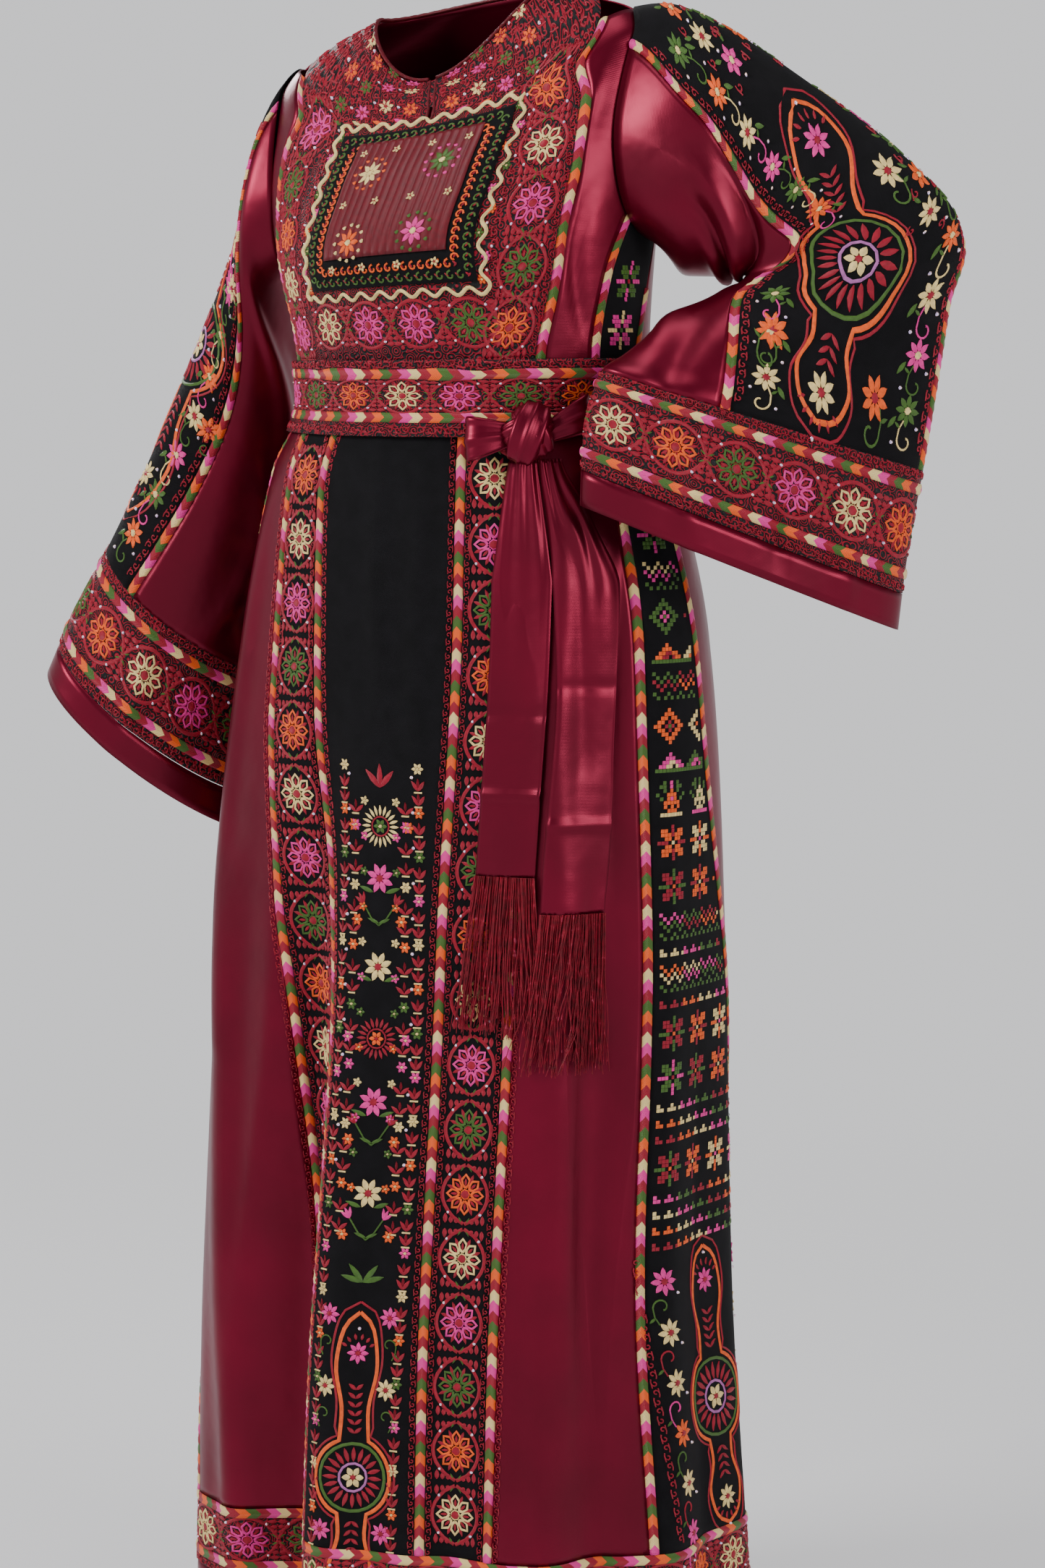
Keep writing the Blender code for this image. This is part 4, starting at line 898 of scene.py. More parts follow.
# The same for the sleeves: metres round from the top edge, + to the front, and t.
SLEEVE_CREASES = {
    "left": [
        (0.235, 0.42, 0.165, 0.10, 0.012, 0.010),
        (0.205, 0.40, 0.140, 0.14, 0.009, -0.009),
        (0.262, 0.44, 0.215, 0.16, 0.012, 0.011),
        (0.240, 0.36, 0.190, 0.10, 0.008, -0.008),
        (0.120, 0.34, 0.060, 0.18, 0.012, 0.005),
        (0.232, 0.56, 0.270, 0.74, 0.012, 0.007),
        (0.226, 0.66, 0.262, 0.92, 0.014, -0.006),
        (0.060, 0.88, 0.075, 1.00, 0.010, 0.005),
        (0.130, 0.90, 0.140, 1.00, 0.010, -0.005),
        (0.215, 0.92, 0.220, 1.00, 0.009, 0.005),
        (-0.120, 0.30, -0.170, 0.70, 0.016, 0.008),
        (-0.190, 0.50, -0.230, 0.95, 0.016, -0.007),
    ],
    "right": [
        (0.110, 0.16, 0.135, 0.46, 0.012, 0.007),
        (0.160, 0.20, 0.185, 0.60, 0.013, -0.006),
        (0.120, 0.48, 0.140, 0.84, 0.013, 0.006),
        (0.090, 0.88, 0.105, 1.00, 0.012, 0.004),
        (-0.120, 0.25, -0.160, 0.80, 0.016, 0.008),
        (-0.190, 0.40, -0.230, 0.95, 0.016, -0.006),
    ],
}
SLEEVE_ROWS, SLEEVE_TURNS = 241, 721
sleeve_grids = {}
for side in SIDES:
    ts, angles = np.linspace(0, 1, SLEEVE_ROWS), np.linspace(-math.pi, math.pi, SLEEVE_TURNS)
    points = sleeve_points(side, ts[:, None], angles[None, :])
    front, back = [SLEEVE_TABLE[side].read(f"panel_{place}", ts) for place in ("front", "back")]
    sleeve_grids[side] = Grid(ts, angles, points, lambda t, m=front / 2 + back / 2: np.interp(t, ts, m))
    sleeve_grids[side].crease(SLEEVE_CREASES[side])


def line(table, column, rows, shift=0.0):
    """Columns of a named seam, moved round by shift and never past the shoulder seam."""
    columns = body.column_at(rows, table.read(column, rows) + shift)
    return np.clip(columns, -math.pi / 2, math.pi / 2)


def side_line(side, which, rows, shift=0.0):
    turn = SIDES[side] * np.radians(SIDE_PANEL.read(f"{side}_{which}", rows))
    return body.column_at(rows, body.across_at(rows, turn) + SIDES[side] * shift)


def armhole_line(side, which, rows, shift=0.0):
    """The outer edge of the bodice's front or back: side panel, armhole and shoulder seam in turn."""
    t = np.clip((rows - ARMHOLE["middle"]) / ARMHOLE["half"], -1, 1)
    reach = math.radians(ARMHOLE["spread"]) * np.sqrt(1 - t * t)
    way = -1 if which == "front" else 1
    upper = SIDES[side] * (math.pi / 2 + way * reach)
    return np.where(rows <= SIDE_TOP, side_line(side, which, np.minimum(rows, SIDE_TOP), shift), upper)


def armhole_top(rows, columns):
    """Lifts a side panel's top rows to the armhole's edge."""
    rows, columns = np.broadcast_arrays(rows, columns)
    across = np.clip((np.abs(columns) - math.pi / 2) / math.radians(ARMHOLE["spread"]), -1, 1)
    top = ARMHOLE["middle"] - ARMHOLE["half"] * np.sqrt(1 - across**2)
    return rows + (top - SIDE_TOP) * ramp(rows, SIDE_TOP - 0.03, SIDE_TOP)


half, gap = BRAID / 2, SEAM / 2
skirt_rows = steps_between(HEM_BRAID_TOP + half + gap, WAIST - gap, CELL)
side_rows = steps_between(HEM_BRAID_TOP + half + gap, SIDE_TOP, CELL)
bodice_rows = steps_between(WAIST + gap, NECK_CORD, CELL / 2)
shoulder_rows = steps_between(WAIST + gap, BRAID_TOP, CELL / 2)


def skirt():
    """The skirt's panels, bands, gores and back."""
    right, left = [side_line(side, "front", skirt_rows, -half - gap) for side in ("right", "left")]
    lows = [line(SKIRT_SEAMS, name, skirt_rows, half + gap) for name in FRONT_SEAMS]
    highs = [line(SKIRT_SEAMS, name, skirt_rows, -half - gap) for name in FRONT_SEAMS]
    pieces = [
        ("skirt_gore_right", satin, "satin"),
        ("skirt_band_right", black, "embroidery"),
        ("skirt_centre_front", black, "black_cloth"),
        ("skirt_band_left", black, "embroidery"),
        ("skirt_gore_left", satin, "satin"),
    ]
    for (name, stuff, slot), low, high in zip(pieces, [right, *lows], [*highs, left]):
        panel(body, name, skirt_rows, low, high, stuff, slot)
    back_left = side_line("left", "back", skirt_rows, gap)
    back_right = side_line("right", "back", skirt_rows, gap) + 2 * math.pi
    panel(body, "skirt_back", skirt_rows, back_left, back_right, satin, "satin")
    for side in SIDES:
        near = side_line(side, "front", side_rows, half + gap)
        far = side_line(side, "back", side_rows, -gap)
        low, high = (near, far) if side == "left" else (far, near)
        panel(body, f"side_panel_{side}", side_rows, low, high, black, "black_cloth", levels=armhole_top)


def bodice():
    """The embroidered front, the satin sides and back, and the chest panel."""
    low = line(BODICE_SEAMS, "right_braid", bodice_rows, half + gap)
    high = line(BODICE_SEAMS, "left_braid", bodice_rows, -half - gap)

    def slit(rows, columns):
        middle = body.column_at(rows, BODICE_SEAMS.read("middle", rows))
        near = np.abs(columns - middle) < SLIT_CORD / 0.15
        return ~((near & (rows > SLIT_END))[:-1, :-1] & (near & (rows > SLIT_END))[1:, 1:])

    panel(body, "bodice_front", bodice_rows, low, high, ground, "embroidery", cells=slit)
    rows = shoulder_rows
    low, high = line(BODICE_SEAMS, "left_braid", rows, half + gap), armhole_line("left", "front", rows, -half)
    panel(body, "bodice_side_left", rows, low, high, satin, "satin")
    low = armhole_line("right", "front", rows, -half)
    high = line(BODICE_SEAMS, "right_braid", rows, -half - gap)
    panel(body, "bodice_side_right", rows, low, high, satin, "satin")
    rows = bodice_rows
    low, high = armhole_line("left", "back", rows), armhole_line("right", "back", rows) + 2 * math.pi
    panel(body, "bodice_back", rows, low, high, satin, "satin")
    rows = steps_between(CHEST_LOW, CHEST_TOP, 0.003)
    middle = BODICE_SEAMS.read("middle", rows)
    low, high = body.column_at(rows, middle - CHEST_HALF), body.column_at(rows, middle + CHEST_HALF)
    panel(body, "chest_panel", rows, low, high, black, "black_cloth", out=CLOTH + OVERLAY, thick=CHEST_THICK)


def neck_cord():
    """The narrow crimson cord round the neck and down both sides of the slit."""
    rows = steps_between(SLIT_END + gap, NECK_CORD, CELL / 2)
    size = {"width": SLIT_CORD - SLIT_HALF, "thick": NECK_THICK}
    sides = {}
    for way, name in ((-1, "right"), (1, "left")):
        across = BODICE_SEAMS.read("middle", rows) + way * (SLIT_HALF + SLIT_CORD) / 2
        sides[name] = body.column_at(rows, across)
        cord = braid(body, f"slit_cord_{name}", rows, sides[name], True, rib_silk, **size)
    turns = np.linspace(sides["left"][-1], sides["right"][-1] + 2 * math.pi, 181)
    levels = np.full(turns.shape, NECK_CORD / 2)
    size["width"] = -NECK_CORD
    cord = braid(body, "neck_cord", levels, turns, False, rib_silk, replaces=["neck_cord"], **size)


def ring_braid(grid, name, level, count, out=CLOTH):
    """A chevron braid all the way round a sleeve or the body, at a level or t."""
    turns = np.linspace(-math.pi, math.pi, count)
    braid(grid, name, np.full(turns.shape, level), turns, False, chevron, out=out, thick=FLAT_BRAID)


def sleeves():
    """Each sleeve's black panel, gores, cuff band and border, with its braids."""
    for side, grid in sleeve_grids.items():
        table = SLEEVE_TABLE[side]
        rows = steps_between(0, CUFF["band"], CELL / SLEEVE_LENGTH)
        seams = {}
        for place in ("back", "front"):
            across = table.read(f"panel_{place}", rows)
            seams[place] = [grid.column_at(rows, across + s * (half + gap)) for s in (-1, 0, 1)]
        start, end = all_round(rows)
        panel(grid, f"sleeve_gore_back_{side}", rows, start, seams["back"][0], satin, "satin")
        panel(grid, f"sleeve_panel_{side}", rows, seams["back"][2], seams["front"][0], black, "black_cloth")
        panel(grid, f"sleeve_gore_front_{side}", rows, seams["front"][2], end, satin, "satin")
        fine = steps_between(0, CUFF["band"], ROW_STEP / SLEEVE_LENGTH)
        for place in ("back", "front"):
            name = f"sleeve_braid_{place}_{side}"
            columns = grid.column_at(fine, table.read(f"panel_{place}", fine))
            braid(grid, name, fine, columns, True, chevron, replaces=[name])
        rows = steps_between(CUFF["band"], CUFF["border"], 0.006)
        panel(grid, f"cuff_band_{side}", rows, *all_round(rows), ground, "embroidery")
        for place in ("upper", "lower"):
            ring_braid(grid, f"cuff_braid_{place}_{side}", sum(CUFF[place]) / 2, 221)
        rows = steps_between(CUFF["border"] + 0.0005, 1.0, 0.008)
        panel(grid, f"cuff_border_{side}", rows, *all_round(rows), satin, "satin")


def hem():
    """The hem band with its braids, and the plain border."""
    low = HEM_BRAID_LOW - half - HEM_SCROLL
    for name, start, end, stuff, slot in (
        ("hem_band", low, HEM_BRAID_TOP + half - gap, ground, "embroidery"),
        ("hem_border", HEM, low - SEAM, satin, "satin"),
    ):
        rows = steps_between(start, end, CELL)
        panel(body, name, rows, *all_round(rows), stuff, slot)
    for number, level in enumerate((HEM_BRAID_TOP, HEM_BRAID_LOW), 1):
        ring_braid(body, f"hem_braid_{number}", level, 761)


def belt():
    """The belt with its two braids."""
    rows = steps_between(BELT["low"], BELT["high"], 0.005)
    panel(body, "belt", rows, *all_round(rows), ground, "embroidery", out=BELT["out"])
    for place in ("low_braid", "high_braid"):
        ring_braid(body, f"belt_{place}", BELT[place], 421, BELT["out"] + CLOTH)


def upright_braids():
    """The braids on the seams of the skirt and the bodice."""
    rows = steps_between(skirt_rows[0], skirt_rows[-1], ROW_STEP)
    for name in FRONT_SEAMS:
        made = f"skirt_braid_{name}"
        braid(body, made, rows, line(SKIRT_SEAMS, name, rows), True, chevron, replaces=[made])
    rows = steps_between(side_rows[0], SIDE_TOP, ROW_STEP)
    for side in SIDES:
        back_rows = steps_between(side_rows[0], -0.25, ROW_STEP)
        back = side_line(side, "back", back_rows)
        braid(body, f"side_back_braid_{side}", back_rows, back, True, chevron, CLOTH, (), 0.007, FLAT_BRAID)
        made = f"side_braid_{side}"
        braid(body, made, rows, side_line(side, "front", rows), True, chevron, replaces=[made], thick=0.003)
    rows = steps_between(WAIST, BRAID_TOP, ROW_STEP)
    for side in SIDES:
        made = f"bodice_braid_{side}"
        braid(body, made, rows, line(BODICE_SEAMS, f"{side}_braid", rows), True, chevron, replaces=[made])


def stage():
    """A pale floor, a pale studio all round, soft lights and the camera of the photo."""
    floor = bpy.data.meshes.new("floor")
    turns = np.linspace(0, 2 * math.pi, 65)[:-1]
    reach = 3.0
    points = [(reach * math.cos(turn), reach * math.sin(turn), HEM - 0.065) for turn in turns]
    floor.from_pydata(points, [], [list(range(len(points)))])
    ground = bpy.data.objects.new("floor", floor)
    shader = Shader("pale_floor")
    where = shader.node("ShaderNodeTexCoord").outputs["Object"]
    away = shader.node("ShaderNodeVectorMath", {0: where}, operation="LENGTH").outputs["Value"]
    fade = shader.node("ShaderNodeMapRange", {0: away, 1: 0.7, 2: reach, 3: 1.0, 4: 0.0}).outputs[0]
    shader.feed(shader.main.inputs["Alpha"], fade)
    floor.materials.append(shader.finish(colour_of(242, 241, 242), 0.9, Specular_IOR_Level=0.1))
    bpy.context.scene.collection.objects.link(ground)
    target = Vector((0.0437, 0.0232, -0.675))
    for name, spot, size, energy in (
        ("key", (-1.9, -2.7, 1.3), 1.2, 120),
        ("fill", (3.3, -1.2, 0.5), 1.6, 70),
        ("rim", (-2.4, 1.6, 1.2), 1.2, 60),
        ("top", (0.4, -0.6, 2.6), 1.6, 35),
    ):
        lamp = bpy.data.lights.new(name, "AREA")
        lamp.energy, lamp.size = energy, size
        light = bpy.data.objects.new(name, lamp)
        light.location = spot
        light.rotation_euler = (target - Vector(spot)).to_track_quat("-Z", "Y").to_euler()
        bpy.context.scene.collection.objects.link(light)
    world = bpy.data.worlds.new("studio")
    world.use_nodes = True
    nodes, links = world.node_tree.nodes, world.node_tree.links
    split = nodes.new("ShaderNodeSeparateXYZ")
    links.new(nodes.new("ShaderNodeTexCoord").outputs["Generated"], split.inputs[0])
    sky = nodes.new("ShaderNodeValToRGB")
    sky.color_ramp.elements[0].position = 0.16
    sky.color_ramp.elements[0].color = (0.90, 0.90, 0.92, 1)
    sky.color_ramp.elements[1].position = 0.42
    sky.color_ramp.elements[1].color = (0.16, 0.16, 0.18, 1)
    links.new(split.outputs[2], sky.inputs[0])
    links.new(sky.outputs[0], nodes["Background"].inputs[0])
    bpy.context.scene.world = world
    view = bpy.data.cameras.new("camera")
    view.lens = 85
    camera = bpy.data.objects.new("camera", view)
    azimuth, elevation, distance = math.radians(28), math.radians(6.5), 3.26
    level = math.cos(elevation)
    toward = Vector((math.sin(azimuth) * level, -math.cos(azimuth) * level, math.sin(elevation)))
    camera.location = target + toward * distance
    camera.rotation_euler = (-toward).to_track_quat("-Z", "Y").to_euler()
    bpy.context.scene.collection.objects.link(camera)
    bpy.context.scene.camera = camera


def along_line(centre):
    """Lays x across a line on the body and y as height up the front."""

    def place(x, y):
        rows = body.row_at(y)
        return rows, body.column_at(rows, centre(rows) + x)

    return place


def along_seams(table, *seams):
    """The same for a line midway between named seams."""
    return along_line(lambda rows: sum(table.read(seam, rows) for seam in seams) / len(seams))


def round_ring(grid, level):
    """Lays y round a ring from its middle column and x up or down from a level."""
    middle = height_of(grid, level)

    def place(x, y):
        rows = grid.row_at(middle + x)
        return rows, grid.column_at(np.full(rows.shape, level), y)

    return place


def flat_patch(grid, row, across, angle=0.0, lean=0.0):
    """Lays x and y evenly about a spot of a surface, turned by an angle, with the low end leaning aside."""
    small = 1e-3
    height = height_of(grid, row)

    def spot(u, v):
        rows = grid.row_at(np.array([height + v]))
        return grid.at(rows, grid.column_at(rows, across + u))

    middle, normal = spot(0, 0)
    over, up = (spot(small, 0)[0] - middle)[0] / small, (spot(0, small)[0] - middle)[0] / small
    e_y = unit(up)
    e_x = unit(np.cross(e_y, normal[0]))
    e_x = e_x * math.copysign(1, e_x @ over)
    cosine, sine = math.cos(angle), math.sin(angle)
    turned = np.array([e_x * cosine + e_y * sine, e_y * cosine - e_x * sine])
    to_grid = np.linalg.lstsq(np.stack([over, up], 1), turned.T, rcond=None)[0]

    def place(x, y):
        u, v = to_grid @ np.stack([x + lean * np.clip((-y - 0.045) / 0.1, 0, 1), y])
        rows = grid.row_at(height + v)
        return rows, grid.column_at(rows, across + u)

    return place


def medallion_at(number):
    """The medallion whose colour comes at this place in the order."""
    return MEDALLIONS[MEDALLION_ORDER[number % 4]]


def scroll_line(made, x, low, high, way=1, scale=1.0):
    """A running scroll up a line, in curls that turn to each side by turns."""
    count = int((high - low) / (CURL * scale))
    for k in range(count):
        y = low + (k + 0.5) * (high - low) / count
        made.place(SCROLL, x, y, math.pi / 2 * way if k % 2 else -math.pi / 2 * way, scale)


def ring_band(name, grid, level, out, scale, first, scrolls=(), tall=1.0):
    """Medallions round a cuff, the hem or the belt, and a scroll line at each level in scrolls."""
    made = Stitches()
    low, high = float(grid.across_at(level, -math.pi)), float(grid.across_at(level, math.pi))
    count = max(2, int(round((high - low) / (PITCH * scale * tall))))
    pitch = (high - low) / count
    for k in range(count):
        y = low + (k + 0.5) * pitch
        made.place(medallion_at(k + first), 0, y, 0.0, scale, pitch / PITCH / scale)
    for at in scrolls:
        scroll_line(made, height_of(grid, at) - height_of(grid, level), low, high, 1, 0.9)
    sew(name, grid, made, out, round_ring(grid, level))


def skirt_bands():
    """Medallions down both skirt bands, and scrolls on both sides of each braid."""
    low, high = height_of(body, skirt_rows[0]), height_of(body, BELT["low"])
    for side, first in (("right", 0), ("left", 1)):
        made = Stitches()
        count = int((high - low) / PITCH)
        for k in range(count):
            y = high - (k + 0.62) * PITCH
            made.place(medallion_at(k + first), 0, y, 0.0, 0.92)
        between = along_seams(SKIRT_SEAMS, f"{side}_outer", f"{side}_inner")
        sew(f"skirt_medallions_{side}", body, made, CLOTH, between)
    for seam in FRONT_SEAMS:
        made = Stitches()
        for x in (-0.0075, 0.0075):
            scroll_line(made, x, low, high, 1 if x > 0 else -1, 0.75)
        sew(f"skirt_scroll_{seam}", body, made, CLOTH, along_seams(SKIRT_SEAMS, seam))


def sunburst(radius, heart, petals=20):
    """A round flower of thin petals about a ring and a small flower."""
    made = Stitches()
    for k in range(petals):
        angle = 2 * math.pi * k / petals
        start = radius * 0.52
        spot = start * math.cos(angle), start * math.sin(angle)
        made.leaf(*spot, angle, radius * 0.48, radius * 0.15, "cream" if heart == "green" else "crimson")
    made.ring(radius * 0.46, radius * 0.08, "lilac" if heart == "cream" else "crimson")
    made.flower(0, 0, radius * 0.36, 6, heart, "crimson" if heart != "green" else "cream")
    return made


def tulip_pair(colour):
    """Two tulips on a stem that lean to both sides, with leaves."""
    made = Stitches()
    for side in (-1, 1):
        tip = side * 0.015, 0.006
        made.strip([(0, -0.012), (side * 0.007, -0.006), tip], 0.0014, "green")
        for lean in (-0.5, 0.0, 0.5):
            made.leaf(*tip, math.pi / 2 - side * 0.5 + lean, 0.010, 0.0032, colour)
        made.leaf(0, -0.010, math.pi / 2 - side * 1.2, 0.011, 0.003, "green")
        made.flower(side * 0.021, -0.008, 0.0055, 6, "orange", "cream")
    return made


# A keyhole's lobe: its half width as a share of the circle's radius, from the circle to its tip.
LOBE = Table("share wide", [(0, 0.38), (0.22, 0.34), (0.58, 0.54), (0.82, 0.44), (0.95, 0.22), (1, 0)])


def keyhole(radius, up, down):
    """A circle between two lobes, outlined twice, with a sunburst in it and flowers in the lobes."""
    made = Stitches()
    share = np.linspace(0, 1, 16)
    for way, length in ((1, up), (-1, down)):
        arc = np.linspace(0, math.acos(0.38), 9)
        for side in (-1, 1):
            for grow, thread, width in ((0.0, "orange", 0.0034), (0.0046, "crimson", 0.0020)):
                r = radius + grow
                circle = np.stack([side * r * np.cos(arc), way * r * np.sin(arc)], 1)
                rise = r * math.sin(arc[-1]) + (length - r + 2 * grow) * share
                wide = radius * LOBE.read("wide", share) + grow * (share < 1)
                lobe = np.stack([side * wide, way * rise], 1)
                made.strip(np.concatenate([circle, lobe[1:]]), width, thread)
        low, high = radius * 1.12, radius + (length - radius) * 0.42
        for y in np.arange(low, high, 0.0075):
            for side in (-1, 1):
                made.leaf(0, way * y, way * (math.pi / 2 - side * 0.9), radius * 0.24, 0.0034, "crimson")
        middle = way * (radius + (length - radius) * 0.66)
        made.flower(0, middle, radius * 0.28, 8, "pink" if way > 0 else "cream", "crimson")
        for k in range(6):
            angle = way * math.pi / 2 + (k - 2.5) * 0.42
            spot = 0.34 * radius * math.cos(angle), middle + 0.34 * radius * math.sin(angle)
            made.leaf(*spot, angle, radius * 0.16, 0.0028, "crimson")
        made.gem(0, middle + way * radius * 0.62)
    made.ring(radius * 0.86, 0.0028, "green", points=24)
    made.place(sunburst(radius * 0.78, "cream"), 0, 0)
    return made


def vine(colour, turn=1):
    """A curling stem with two leaves and a curl of coloured thread at its end."""
    made = Stitches()
    made.curl((0, 4.6), (0.0085, 0.0022), 12, 0.0016, colour, turn)
    made.strip([(turn * 0.0085, 0), (turn * 0.0080, -0.008), (turn * 0.0045, -0.015)], 0.0014, colour)
    made.leaf(turn * 0.0075, -0.009, -0.6 if turn > 0 else math.pi + 0.6, 0.007, 0.0026, "green")
    return made


def leaf_chain(made, x, low, high, lean=0.6, step=0.014):
    """A column of crimson leaf pairs with a cream bar and a small flower at every third."""
    count = int((high - low) / step)
    for k in range(count):
        y = low + (k + 0.5) * step
        if k % 3 == 2:
            made.flower(x, y + 0.002, 0.0052, 6, MEDALLION_ORDER[(k // 3) % 4], "cream")
        else:
            for side in (-1, 1):
                made.leaf(x, y - 0.004, math.pi / 2 - side * lean, 0.0100, 0.0036, "crimson")
                made.leaf(x, y - 0.001, math.pi / 2, 0.0075, 0.0028, "crimson")
            made.strip([(x - 0.0036, y - 0.0055), (x + 0.0036, y - 0.0055)], 0.0015, "cream")


# The centre front's motifs from the top down: the level of each and what it is.
CENTRE_MOTIFS = [
    (-0.657, "fleur"), (-0.698, "burst_green"), (-0.742, "flower_pink"), (-0.770, "tulips_crimson"),
    (-0.817, "flower_cream"), (-0.878, "burst_orange"), (-0.932, "flower_pink"), (-0.957, "tulips_crimson"),
    (-1.010, "flower_cream"), (-1.038, "tulips_pink"), (-1.086, "base"), (-1.254, "keyhole"),
]


def centre_front():
    """The embroidery of the black centre panel, which begins a hand's breadth above the knee."""
    made = Stitches()
    for level, kind in CENTRE_MOTIFS:
        y = height_of(body, level)
        name, _, colour = kind.partition("_")
        if name == "burst":
            made.place(sunburst(0.018, colour), 0, y)
            for side in (-1, 1):
                made.flower(side * 0.027, y, 0.0055, 6, "orange" if colour == "green" else "pink", "cream")
        elif name == "flower":
            made.flower(0, y, 0.013, 8, colour, "crimson", math.pi / 8)
            for side in (-1, 1):
                made.leaf(side * 0.006, y - 0.012, math.pi / 2 - side * 1.25, 0.014, 0.004, "green")
        elif name == "tulips":
            made.place(tulip_pair(colour), 0, y)
        elif name == "fleur":
            for lean in (-0.75, 0.0, 0.75):
                made.leaf(0, y - 0.008, math.pi / 2 + lean, 0.020, 0.0055, "crimson")
        elif name == "base":
            for lean in (-1.3, -0.7, 0.7, 1.3):
                made.leaf(0, y, math.pi / 2 + lean, 0.020, 0.005, "green")
        elif name == "keyhole":
            made.place(keyhole(0.034, 0.145, 0.115), 0, y)
    low = height_of(body, skirt_rows[0])
    for side in (-1, 1):
        leaf_chain(made, side * 0.037, low, height_of(body, -0.640), step=0.0125)
        leaf_chain(made, side * 0.0245, low + 0.27, height_of(body, -0.66), lean=0.9, step=0.0170)
        for k in range(12):
            y = height_of(body, -0.655) - k * 0.030
            made.gem(side * 0.0315, y)
            made.flower(side * 0.0155, y - 0.022, 0.0042, 5, MEDALLION_ORDER[(k + 1) % 4], "cream")
        for k, colour in enumerate(("pink", "cream", "orange", "pink")):
            y = height_of(body, -1.115) - k * 0.062
            if abs(y - height_of(body, -1.254)) > 0.035:
                made.flower(side * 0.0275, y, 0.0095, 8, colour, "crimson")
                made.place(vine("green", side), side * 0.028, y - 0.024, 0.0, 0.8)
    sew("centre_front_stitches", body, made, CLOTH, along_seams(SKIRT_SEAMS, "right_inner", "left_inner"))


# Cross stitch repeats, charted: a letter for each thread, a dot where the black cloth shows.
CHART_THREADS = {"r": "crimson", "o": "orange", "c": "cream", "p": "pink", "g": "green"}
STAR = """
....r....
.oo.r.oo.
.ooorooo.
..oo.oo..
rrr.c.rrr
..oo.oo..
.ooorooo.
.oo.r.oo.
....r....
""".split()
DIAMOND = """
....p....
...ppp...
..pp.pp..
.pp.c.pp.
pp.cgc.pp
.pp.c.pp.
..pp.pp..
...ppp...
....p....
""".split()
PEAKS = """
....o....
...ooo...
..oorroo.
.oorr.roo
ggggggggg
""".split()
WAVE = """
r...r...
.r.r.r.r
o.r.o.r.
.o.o.o.o
..o...o.
g...g...
.g.g.g.g
""".split()
VASE = """
..g.c.g..
.gg.c.gg.
..g.r.g..
g..rrr..g
.g.rcr.g.
..rrrrr..
..r.r.r..
...rrr...
.ooooooo.
""".split()
LINE = """
r...r...
rr.rrr.r
""".split()
SIDE_ROWS = [LINE, LINE, LINE, LINE, STAR, LINE, LINE, LINE, STAR, STAR, LINE, WAVE, LINE, WAVE, STAR, STAR]
SIDE_ROWS += [VASE, PEAKS, DIAMOND, WAVE, PEAKS, DIAMOND, WAVE, STAR]
SIDE_MOTIF = -1.200


def cross_stitch(name, side):
    """The side panel's cross stitch: rows of repeats between its front braid and its back edge."""
    cell = 0.0034
    spots, kinds = [], []
    low, top = height_of(body, SIDE_MOTIF) + 0.145, height_of(body, -0.25)
    y, number = low, 0
    while y < top:
        chart = SIDE_ROWS[number % len(SIDE_ROWS)]
        colours = "rocpg"
        for r, text in enumerate(reversed(chart)):
            height = y + (r + 0.5) * cell
            row = float(body.row_at(height))
            edges = [math.radians(SIDE_PANEL.read(f"{side}_{place}", row)) for place in ("front", "back")]
            near, far = [abs(float(body.across_at(row, SIDES[side] * edge))) for edge in edges]
            for k in range(int((far - near - 0.016) / cell)):
                period = len(text) + (2 if chart in (STAR, DIAMOND, VASE) else 0)
                letter = (text + "..")[k % period]
                if letter != ".":
                    shift = (k // period + number) % 5 if letter != "g" else 0
                    kinds.append(CHART_THREADS[colours[(colours.index(letter) + shift) % 5]])
                    spots.append((near + 0.010 + (k + 0.5) * cell, height))
        y += (len(chart) + 2) * cell
        number += 1
    made = Stitches()
    spots = np.array(spots)
    reach = cell * 0.46
    corners = np.array([(-reach, -reach), (reach, -reach), (reach, reach), (-reach, reach), (0, 0)])
    flat = (spots[:, None, :] + corners).reshape(-1, 2)
    rise = np.tile([0.0002, 0.0002, 0.0002, 0.0002, 0.0010], len(spots))
    start = np.arange(len(spots))[:, None] * 5
    sides = np.stack([start + [k, (k + 1) % 4, 4] for k in range(4)], 1).reshape(-1, 3)
    kinds = np.repeat([THREADS.index(kind) for kind in kinds], 4)
    made.add(np.column_stack([flat, rise]), sides, kinds)

    def place(x, y):
        rows = body.row_at(y)
        return rows, body.column_at(rows, SIDES[side] * x)

    sew(name, body, made, CLOTH, place)


def side_motif(side):
    """The keyhole motif low on the side panel, with flowers and vines in front of it and behind it."""
    made = Stitches()
    y = height_of(body, SIDE_MOTIF)
    made.place(keyhole(0.040, 0.140, 0.118), 0, y)
    for way in (-1, 1):
        for k, colour in enumerate(("pink", "cream", "cream", "orange", "cream", "pink")):
            at = y + 0.118 - k * 0.045
            made.flower(way * 0.066, at, FLOWER, 8, colour, "crimson")
            made.place(vine(["green", "crimson", "pink"][k % 3], way), way * 0.071, at - 0.022)
            made.gem(way * 0.052, at - 0.012)
        scroll_line(made, way * 0.089, y - 0.110, y + 0.140, way)

    def centre(rows):
        front = SIDE_PANEL.read(f"{side}_front", rows)
        back = SIDE_PANEL.read(f"{side}_back", rows)
        return body.across_at(rows, SIDES[side] * np.radians((front + back) / 2))

    sew(f"side_motif_{side}", body, made, CLOTH, along_line(centre))


